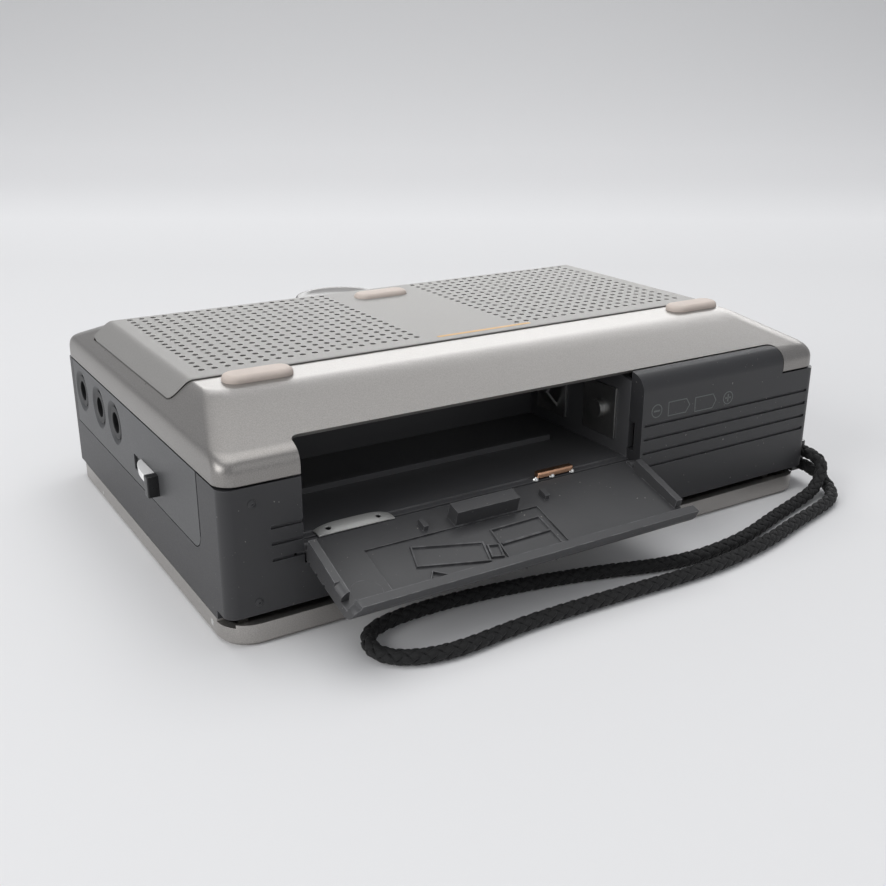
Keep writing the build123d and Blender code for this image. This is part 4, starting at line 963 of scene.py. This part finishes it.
class RECORDER_OT_stage(Operator):
    """Floor, backdrop, light and the photograph's camera"""

    bl_idname = "recorder.stage"
    bl_label = "Stage and camera"

    def execute(self, context):
        scene = context.scene
        scene.view_settings.view_transform = "Standard"
        forward = camera_forward()
        right = np.cross(forward, [0, 0, 1])
        right /= np.linalg.norm(right)
        up = np.cross(right, forward)
        rolled = right * cos(CAMERA_ROLL) + up * sin(CAMERA_ROLL)
        rolled_up = up * cos(CAMERA_ROLL) - right * sin(CAMERA_ROLL)
        turn = Matrix(np.stack([rolled, rolled_up, -forward], 1).tolist()).to_4x4()
        data = bpy.data.cameras.new("camera")
        data.sensor_width = SENSOR
        data.lens = CAMERA_FOCUS_PIXELS / PHOTO_WIDTH * SENSOR
        data.clip_start = 0.005
        camera = bpy.data.objects.new("camera", data)
        camera.matrix_world = Matrix.Translation(Vector(CAMERA_PLACE) * MM) @ turn
        scene.collection.objects.link(camera)
        scene.camera = camera
        self.lights(scene, self.sweep())
        return {"FINISHED"}

    def sweep(self):
        """Paper that runs flat under the recorder and bends up behind it in a quarter circle."""
        away = camera_away()
        side = np.array([-away[1], away[0]])
        flat = np.linspace(PAPER_START, PAPER_END, 24)
        angle = np.linspace(0, pi / 2, 24)[1:]
        bend = PAPER_END + PAPER_BEND * np.sin(angle)
        run = np.concatenate([flat, bend, [PAPER_END + PAPER_BEND]])
        lift = np.concatenate([np.zeros(24), PAPER_BEND * (1 - np.cos(angle)), [PAPER_HIGH]])
        across = np.linspace(-PAPER_HALF, PAPER_HALF, 15)
        s, t = np.meshgrid(np.arange(len(run)), across, indexing="ij")
        x = run[s] * away[0] + t * side[0]
        y = run[s] * away[1] + t * side[1]
        points = np.stack([x, y, lift[s]], -1).reshape(-1, 3)
        faces = [face[::-1] for face in grid_faces(len(run), len(across))]
        sheet = put_mesh("paper", points, faces, "paper", 0)
        return sheet

    def lights(self, scene, sheet):
        """A wide soft box overhead, weaker ones round it, and a pale world.

        The low box behind lights the recorder but not the paper in front of it.
        """
        world = bpy.data.worlds.new("room")
        scene.world = world
        world.use_nodes = True
        room = world.node_tree.nodes["Background"].inputs
        room["Color"].default_value = ROOM_COLOUR
        room["Strength"].default_value = ROOM_STRENGTH
        unlit = bpy.data.collections.new("unlit")
        unlit.objects.link(sheet)
        unlit.collection_objects[0].light_linking.link_state = "EXCLUDE"
        for name, place, target, wide, high, power in LAMPS:
            data = bpy.data.lights.new(name, "AREA")
            data.shape = "RECTANGLE"
            data.size = wide * MM
            data.size_y = high * MM
            data.energy = power
            lamp = bpy.data.objects.new(name, data)
            lamp.location = Vector(place) * MM
            aim = Vector(target) - Vector(place)
            lamp.rotation_euler = aim.to_track_quat("-Z", "Y").to_euler()
            scene.collection.objects.link(lamp)
            if name == "back_box":
                lamp.light_linking.receiver_collection = unlit


class RECORDER_OT_shell(Operator):
    """Silver upper shell with its notch, plate recess and dial slot"""

    bl_idname = "recorder.shell"
    bl_label = "Upper shell"

    def execute(self, context):
        outer = np.asarray(shell_loops(0.0))
        inner = np.asarray(shell_loops(WALL))[1:]
        stack = np.concatenate([inner[::-1], outer])
        stack[len(inner) - 1, :, 2] = SEAM + SEAM_GAP
        shell = lofted("upper_shell", stack, "silver_paint")
        cut_away(shell, [self.notch(), self.recess(), self.slot(), *self.pockets()])
        soften(shell, SHELL_EDGE, 3, 38.0, 34.0)
        stand_in(shell, "top_shell")
        return {"FINISHED"}

    def notch(self):
        """A block whose back leans away from the open side towards its foot."""
        x0, x1, depth, corner = NOTCH
        plans = []
        for z in NOTCH_SPAN:
            back = -HALF_DEPTH + depth + NOTCH_LEAN * (NOTCH_LEVEL - z)
            plans.append(at_height(rounded_loop(x0, x1, -HALF_DEPTH - 10, back, corner), z))
        return lofted("notch", plans, "silver_paint")

    def slot(self):
        """A disc a little larger than the dial."""
        x, y, radius, low, thick = DIAL
        radius += DIAL_GAP
        disc = turned([(radius, low - 1.3), (radius, low + thick + DIAL_GAP)], 96, (x, y, 0))
        return put_mesh("slot", *disc, "silver_paint")

    def pockets(self):
        """Openings over the two felts, so that the grille's holes show them."""
        low, high = node_box("grille_felts")
        inner = sizes().field_inner - 2.0
        pockets = []
        for x0, x1 in ((low[0] - FELT_GAP, -inner), (inner, high[0] + FELT_GAP)):
            plan = rounded_loop(x0, x1, low[1] - FELT_GAP, high[1] + FELT_GAP, 0.8, 4)
            pockets.append(lofted("pocket", at_heights(plan, (low[2] - 0.02, 34)), "silver_paint"))
        return pockets

    def recess(self):
        """The plate's own form a little larger, open upwards."""
        half = PLATE_HALF + RECESS_GAP
        x = np.linspace(-half, half, 161)
        y = np.concatenate([
            np.linspace(PLATE_FRONT - RECESS_GAP, PLATE_FRONT + 1.5, 8),
            np.linspace(PLATE_BACK - 1.5, PLATE_BACK + RECESS_GAP, 8),
        ])
        bottom = plate_points(x, y, RECESS_GAP, PLATE_THICKNESS + 0.02)
        top = bottom + [0, 0, 4.0]
        rows, columns = len(y), len(x)
        faces = [face[::-1] for face in grid_faces(rows, columns)]
        faces += grid_faces(rows, columns, start=rows * columns)
        ring = np.concatenate([
            np.arange(columns),
            np.arange(2, rows + 1) * columns - 1,
            (rows - 1) * columns + np.arange(columns)[::-1][1:],
            np.arange(1, rows - 1)[::-1] * columns,
        ])
        ahead = np.roll(ring, -1)
        faces += np.stack([ring, ahead, ahead + rows * columns, ring + rows * columns], -1).tolist()
        return put_mesh("recess", np.concatenate([bottom, top]), faces, "silver_paint")


class RECORDER_OT_grille(Operator):
    """Perforated plate, bent down both side slopes, with its small print"""

    bl_idname = "recorder.grille"
    bl_label = "Grille plate"

    def execute(self, context):
        points, corners, holed = self.sheet()
        cells = corners[holed]
        ring, ring_faces = self.holes(points[cells].mean(1), cells, len(points))
        faces = corners[~holed].tolist() + ring_faces
        plate = put_mesh("grille_plate", np.concatenate([points, ring]), faces, "grille_sheet", 24.0)
        thicken(plate, PLATE_THICKNESS - 0.05)
        plate.data.set_sharp_from_angle(angle=radians(30))
        stand_in(plate, "speaker_grille")
        paint_nodes(["grille_felts"], "felt_cloth")
        bar = pill(*BAR_PLACE, PLATE_TOP - 0.05, PLATE_TOP + BAR_RISE, *BAR)
        seat(put_mesh("gold_bar", *bar, "gold_ink"), "case")
        return {"FINISHED"}

    def sheet(self):
        """Points and quads of the plate, and which quads get a hole.

        The columns and rows lie on the holes' cells, closer ones follow the bend and the rim,
        and the height over X is the plate's own, less the fall of its rim.
        """
        s = sizes()
        pitch_x = (s.field_outer - s.field_inner) / (s.hole_columns - 1)
        pitch_y = (s.field_back - s.field_front) / (s.hole_rows - 1)
        cells_x = s.field_inner - pitch_x / 2 + pitch_x * np.arange(s.hole_columns + 1)
        cells_y = s.field_front - pitch_y / 2 + pitch_y * np.arange(s.hole_rows + 1)
        middle = np.linspace(0, cells_x[0], 5)[1:-1]
        bend = np.linspace(cells_x[-1], PLATE_HALF - RIM_FAR, 16)[1:]
        half = np.concatenate([middle, cells_x, bend, [PLATE_HALF - RIM_NEAR, PLATE_HALF]])
        x = np.concatenate([-half[::-1], [0.0], half])
        y = np.concatenate([
            [PLATE_FRONT, PLATE_FRONT + RIM_NEAR, PLATE_FRONT + RIM_FAR],
            np.linspace(PLATE_FRONT + 0.6, cells_y[0], 4)[:-1],
            cells_y,
            [PLATE_BACK - RIM_FAR, PLATE_BACK - RIM_NEAR, PLATE_BACK],
        ])
        rows, columns = len(y), len(x)
        rim_x = np.minimum(np.arange(columns), np.arange(columns)[::-1])
        rim_y = np.minimum(np.arange(rows), np.arange(rows)[::-1])
        rim = np.minimum(rim_x[None, :], rim_y[:, None])
        drop = np.select([rim == 0, rim == 1], [RIM_FAR, RIM_NEAR], 0.0)
        points = plate_points(x, y, 0.0, drop)
        quads = np.array(grid_faces(rows, columns)).reshape(rows - 1, columns - 1, 4)
        in_y = (y[:-1] >= cells_y[0] - 1e-6) & (y[1:] <= cells_y[-1] + 1e-6)
        ax = np.abs(x)
        low_x = np.minimum(ax[:-1], ax[1:])
        high_x = np.maximum(ax[:-1], ax[1:])
        in_x = (low_x >= cells_x[0] - 1e-6) & (high_x <= cells_x[-1] + 1e-6)
        return points, quads, in_y[:, None] & in_x[None, :]

    def holes(self, middle, cells, start):
        """A circle of points round each cell's middle, and the faces from it to the cell's sides."""
        angle = -3 * pi / 4 + 2 * pi * np.arange(HOLE_SIDES) / HOLE_SIDES
        circle = np.stack([np.cos(angle), np.sin(angle), np.zeros(HOLE_SIDES)], -1)
        circle *= sizes().hole_diameter / 2
        base = start + np.arange(len(cells)) * HOLE_SIDES
        per_side = HOLE_SIDES // 4
        faces = []
        for k in range(4):
            arc = [base + (per_side * (k + 1) - m) % HOLE_SIDES for m in range(per_side + 1)]
            faces += np.stack([cells[:, k], cells[:, (k + 1) % 4], *arc], -1).tolist()
        return (middle[:, None, :] + circle[None]).reshape(-1, 3), faces


class RECORDER_OT_feet(Operator):
    """Three rubber feet on the back"""

    bl_idname = "recorder.feet"
    bl_label = "Rubber feet"

    def execute(self, context):
        pads = [pill(x, y, low, FOOT_TOP, *FOOT) for x, y, low in FEET]
        stand_in(joined("rubber_pads", pads, "foot_rubber", 40.0), "rubber_feet")
        return {"FINISHED"}


class RECORDER_OT_frame(Operator):
    """Dark middle frame with its pips and the polarity mark on the fairing"""

    bl_idname = "recorder.frame"
    bl_label = "Middle frame"

    def execute(self, context):
        dressed("mid_frame", "frame_plastic", sizes().edge)
        dressed("key_trough", "frame_plastic", 0.1)
        dressed("jack_panel", "panel_plastic", move=self.open_seam)
        pips = [turned(PIP_PROFILE, 20, (x, -HALF_DEPTH, z), "Y") for x, z in PIPS]
        seat(joined("front_pips", pips, "frame_plastic"), "case")
        outlines = []
        for x0, x1, z0, z1 in CELL_MARKS:
            neck = x1 - 0.8
            outlines.append([(x0, z0), (neck, z0), (x1, (z0 + z1) / 2), (neck, z1), (x0, z1)])
        for x, z in (MINUS, PLUS):
            outlines += [circle_points(x, z, MARK_RING, 24), bar_points(x, z, *MARK_BAR)]
        outlines.append(bar_points(*PLUS, *MARK_BAR[::-1]))
        marks = [frame_ring(outline, MARK_LINE, front_place, -0.01, 0.02) for outline in outlines]
        seat(joined("polarity_mark", marks, "grey_ink", 0), "case")
        return {"FINISHED"}

    def open_seam(self, points):
        """Draws the side panel's front edge back, which widens the seam in front of it."""
        edge = points[:, 1] < SIDE_PANEL_FRONT + 0.1
        return points + np.where(edge[:, None], [0, SEAM_MORE, 0], 0)


class RECORDER_OT_bay(Operator):
    """Battery bay: tray, contacts, steel strip and copper bar"""

    bl_idname = "recorder.bay"
    bl_label = "Battery bay"

    def execute(self, context):
        dressed("battery_box", "bay_plastic", 0.25)
        self.strip()
        low, high = node_box("copper_contact")
        level = high[2] - 0.32
        x, y, _ = (low + high) / 2
        rod = pill(x + 0.4, y, level - 0.28, level + 0.6, *ROD)
        bar = put_mesh("copper_rod", *rod, "copper_bar", 40.0)
        stand_in(bar, "copper_contact")
        places = (low[0] - 0.3, x - 0.4, high[0] + 0.3)
        beads = [turned(BEAD_PROFILE, 18, (place, y - 0.35, low[2])) for place in places]
        seat(joined("contact_beads", beads, "solder_bead", 40.0), "case")
        paint_nodes(["contact_link", "contact_positive", "contact_negative"], "spring_steel")
        return {"FINISHED"}

    def strip(self):
        """A leaf whose height is the sum of a lean across it and a crown along it."""
        low, high = node_box("latch_strip")
        rows, columns = 9, 41
        along, across = np.meshgrid(np.linspace(0, 1, columns), np.linspace(0, 1, rows), indexing="xy")
        x = low[0] + along * (high[0] - low[0])
        y = low[1] + across * (high[1] - low[1])
        crown = 1 - (2 * along - 1) ** 4
        z = low[2] + 0.12 + LEAF_RISE * across * crown + LEAF_CROWN * np.sin(pi * across)
        points = np.stack([x, y, z], -1).reshape(-1, 3)
        leaf = put_mesh("latch_leaf", points, grid_faces(rows, columns), "strip_steel", 40.0)
        thicken(leaf, LEAF_SHEET)
        holes = []
        for share in LEAF_HOLES:
            centre = (low[0] + share * (high[0] - low[0]), (low[1] + high[1]) / 2, 0)
            hole = turned([(0.42, low[2] - 1), (0.42, high[2] + 2)], 24, centre)
            holes.append(put_mesh("hole", *hole, "strip_steel"))
        cut_away(leaf, holes)
        soften(leaf, 0.04)
        stand_in(leaf, "latch_strip")


class RECORDER_OT_door(Operator):
    """Battery door with the relief on its inner face"""

    bl_idname = "recorder.door"
    bl_label = "Battery door"

    def execute(self, context):
        dressed("battery_door", "door_plastic", 0.16, move=self.reshape)
        relief = self.outlines(RELIEF, 0.4, -0.3, 0.04) + self.outlines([ARROW], 0.3, -0.3, 0.12)
        seat(joined("door_relief", relief, "door_plastic"), "door")
        mark = circle_points(*GATE_MARK, 48)
        marks = self.outlines([mark], 0.12, -0.02, 0.015) + self.outlines(ARROWHEADS, 0.14, -0.02, 0.1)
        seat(joined("door_marks", marks, "door_plastic"), "door")
        return {"FINISHED"}

    def reshape(self, points):
        """Lengthens the sunk panel towards the free edge and lifts the tab's top."""
        away = points[:, 1:] - DOOR_AXIS
        along = away[:, 1] * cos(DOOR_ANGLE) - away[:, 0] * sin(DOOR_ANGLE)
        off = away[:, 0] * cos(DOOR_ANGLE) + away[:, 1] * sin(DOOR_ANGLE)
        rim = (abs(along - PANEL_END) < 0.05) & (points[:, 0] < -7) & (abs(off) < DOOR_SKIN + 0.05)
        along = along + np.where(rim, PANEL_MORE, 0.0)
        off = off + np.where(off > 1.8, TAB_MORE, 0.0)
        return door_place(points[:, 0], along, off)

    def outlines(self, shapes, width, low, high):
        """Lines that stand off the door's inner face."""
        levels = (DOOR_SKIN + low, DOOR_SKIN + high)
        return [frame_ring(shape, width, door_place, *levels) for shape in shapes]


class RECORDER_OT_lid(Operator):
    """Silver cassette lid, its window and its hardware"""

    bl_idname = "recorder.lid"
    bl_label = "Cassette lid"

    def execute(self, context):
        # The lid's paint is the shell's silver painted 1.4 times lighter.
        dressed("cassette_lid", "lid_paint_painted_lighter", 0.3, 3)
        paint_nodes(["lid_hooks"], "silver_paint")
        paint_nodes(["lid_window"], "clear_sheet")
        paint_nodes(["cassette_springs"], "spring_steel")
        return {"FINISHED"}


class RECORDER_OT_controls(Operator):
    """Jacks, slide switch, thumb dial, push keys and their spring"""

    bl_idname = "recorder.controls"
    bl_label = "Controls"

    def execute(self, context):
        for node in JACKS:
            dressed(node, "jack_black")
        self.switch()
        for node in KEYS:
            dressed(node, "key_plastic", 0.2)
        self.spring()
        self.dial()
        dressed("strap_lug", "black_gloss", 0.25, 3)
        paint_nodes(["slide_switch_body"], "bay_plastic")
        return {"FINISHED"}

    def switch(self):
        """A black post on a flat slider, and a glossy pad behind it whose back falls in a quarter ellipse."""
        parts = []
        for y, along, height, low, high, edge in SWITCH_PADS:
            points, faces = pill(y, SWITCH_HEIGHT, low, high, along, height, edge, edge + 0.1, 5)
            sideways = np.stack([-HALF_LENGTH - points[:, 2], points[:, 0], points[:, 1]], -1)
            parts.append((sideways, [face[::-1] for face in faces]))
        knob = joined("switch_knob", parts, "black_gloss")
        stand_in(knob, "slide_switch_knob")
        front, back = SCOOP
        angle = np.linspace(0, pi / 2, 14)
        y = np.concatenate([back + (front - back) * (1 - np.cos(angle)), [front, back]])
        x = -HALF_LENGTH - np.concatenate([0.1 + SCOOP_RISE * np.sin(angle), [0.03, 0.03]])
        loops = at_heights(np.stack([x, y], -1), SCOOP_LEVELS)
        seat(soften(lofted("switch_scoop", loops, "white_gloss"), 0.12), "switch_knob")

    def spring(self):
        """A comb on the deck, and a leaf behind each key."""
        low, high = node_box("key_return_spring")
        foot = low[2] + SPRING_SHEET
        plan = rounded_loop(low[0], high[0], low[1], high[1], 0.1, 3)
        comb = lofted("spring_comb", at_heights(plan, (low[2], foot)), "spring_steel")
        stand_in(comb, "key_return_spring")
        centres = [np.mean([c[0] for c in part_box(node)]) / MM for node in KEYS]
        half = (high[0] - max(centres)) / 2
        for node, x in zip(KEYS, centres):
            plan = rounded_loop(x - half, x + half, high[1] - SPRING_SHEET, high[1], 0.05, 2)
            leaf = lofted(node + "_leaf", at_heights(plan, np.linspace(foot, high[2], 14)), "spring_steel")
            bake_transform(leaf)

    def dial(self):
        """The wheel's radius falls and rises as a raised cosine round its rim."""
        x, y, radius, low, thick = DIAL
        teeth = sizes().dial_teeth
        count = teeth * 6
        wave = 0.5 - 0.5 * np.cos(np.linspace(0, 2 * pi, count, endpoint=False) * teeth)
        profile = (
            (0.9, 0.0, 0), (0.35, 0.0, 0.5), (0.0, 0.3, 1), (0.0, thick - 0.3, 1), (0.35, thick, 0.5),
            (1.1, thick, 0), (1.6, thick, 0), (1.9, thick - 0.3, 0), (radius - 2.2, thick - 0.3, 0),
        )
        loops = []
        for inset, z, ribs in profile:
            r = radius - inset - RIB_DEPTH * ribs * wave
            loops.append(at_height(circle_points(x, y, r, count), low + z))
        wheel = lofted("thumb_wheel", loops, "dial_grey", 50.0)
        stand_in(wheel, "volume_dial")


class RECORDER_OT_strap(Operator):
    """Braided wrist strap that lies on the floor"""

    bl_idname = "recorder.strap"
    bl_label = "Wrist strap"

    def execute(self, context):
        path = self.route()
        piece = self.braid(path)
        stand_in(piece, "wrist_strap")
        return {"FINISHED"}

    def route(self):
        """Points read from one smooth spline through the route's control points."""
        data = bpy.data.curves.new("strap_route", "CURVE")
        data.dimensions = "3D"
        data.resolution_u = 20
        spline = data.splines.new("NURBS")
        spline.points.add(len(STRAP_ROUTE) - 1)
        for point, place in zip(spline.points, STRAP_ROUTE):
            point.co = (*place, 1.0)
        spline.order_u = 3
        spline.use_endpoint_u = True
        holder = bpy.data.objects.new("strap_route", data)
        bpy.context.scene.collection.objects.link(holder)
        bpy.context.view_layer.update()
        mesh = bpy.data.meshes.new_from_object(holder)
        points = np.array([v.co for v in mesh.vertices], float)
        bpy.data.objects.remove(holder)
        bpy.data.meshes.remove(mesh)
        return points

    def braid(self, path):
        """Eight strands, four each way round, that pass over and under each other.

        A strand's angle grows evenly with length, and its distance from the middle swings
        as a cosine four times a turn, so that it is out where the other way's is in.
        """
        step = np.linalg.norm(np.diff(path, axis=0), axis=1)
        run = np.concatenate([[0.0], np.cumsum(step)])
        s = np.linspace(0, run[-1], int(run[-1] / 0.3))
        line = np.stack([np.interp(s, run, path[:, k]) for k in range(3)], -1)
        ahead = unit_rows(np.gradient(line, axis=0))
        side = unit_rows(np.cross([0, 0, 1.0], ahead))
        over = np.cross(ahead, side)
        turn = 2 * pi / sizes().braid_pitch
        ring = np.linspace(0, 2 * pi, STRAND_SIDES, endpoint=False)
        flat = STRAND_HALF_WIDTH * np.cos(ring)[None, :, None]
        tall = STRAND_HALF_HEIGHT * np.sin(ring)[None, :, None]
        parts = []
        for way in (1, -1):
            for k in range(4):
                angle = way * turn * s + k * pi / 2
                radius = STRAND_RADIUS + STRAND_SWING * way * np.cos(4 * turn * s)
                out = np.cos(angle)[:, None] * side + np.sin(angle)[:, None] * over
                centre = line + radius[:, None] * out
                wide = unit_rows(np.cross(unit_rows(np.gradient(centre, axis=0)), out))
                tube = centre[:, None, :] + flat * wide[:, None, :] + tall * out[:, None, :]
                parts.append(capped(tube))
        piece = joined("braided_strap", parts, "braided_cord", 0)
        strand = np.stack([np.repeat(s, STRAND_SIDES), np.tile(ring, len(s))], -1)
        places = np.tile(strand, (len(parts), 1))
        layer = piece.data.uv_layers.new(name="strand")
        corner = np.empty(len(piece.data.loops), np.int32)
        piece.data.loops.foreach_get("vertex_index", corner)
        layer.data.foreach_set("uv", places[corner].astype(np.float32).ravel())
        return piece


class RECORDER_OT_works(Operator):
    """Finishes for the drive, the board and everything else inside"""

    bl_idname = "recorder.works"
    bl_label = "Drive and board"

    def execute(self, context):
        for material, names in WORKS:
            paint_nodes(names.split(), material)
        return {"FINISHED"}


class RECORDER_PT_panel(Panel):
    """Lists the pieces and their sizes in the sidebar"""

    bl_idname = "RECORDER_PT_panel"
    bl_label = "Recorder"
    bl_space_type = "VIEW_3D"
    bl_region_type = "UI"
    bl_category = "Recorder"

    def draw(self, context):
        for operator in OPERATORS:
            self.layout.operator(operator.bl_idname)
        for group in (context.scene.recorder_sizes, context.scene.recorder_colours):
            box = self.layout.box()
            for name in group.bl_rna.properties.keys():
                if name not in ("rna_type", "name"):
                    box.prop(group, name)


OPERATORS = (
    RECORDER_OT_stage,
    RECORDER_OT_shell,
    RECORDER_OT_grille,
    RECORDER_OT_feet,
    RECORDER_OT_frame,
    RECORDER_OT_bay,
    RECORDER_OT_door,
    RECORDER_OT_lid,
    RECORDER_OT_controls,
    RECORDER_OT_strap,
    RECORDER_OT_works,
)
CLASSES = (RecorderSizes, RecorderColours, *OPERATORS, RECORDER_PT_panel)


def register():
    for item in CLASSES:
        bpy.utils.register_class(item)
    bpy.types.Scene.recorder_sizes = PointerProperty(type=RecorderSizes)
    bpy.types.Scene.recorder_colours = PointerProperty(type=RecorderColours)


def unregister():
    del bpy.types.Scene.recorder_colours
    del bpy.types.Scene.recorder_sizes
    for item in reversed(CLASSES):
        bpy.utils.unregister_class(item)


def main():
    register()
    for operator in OPERATORS:
        group, name = operator.bl_idname.split(".")
        getattr(getattr(bpy.ops, group), name)()


if __name__ == "__main__":
    main()
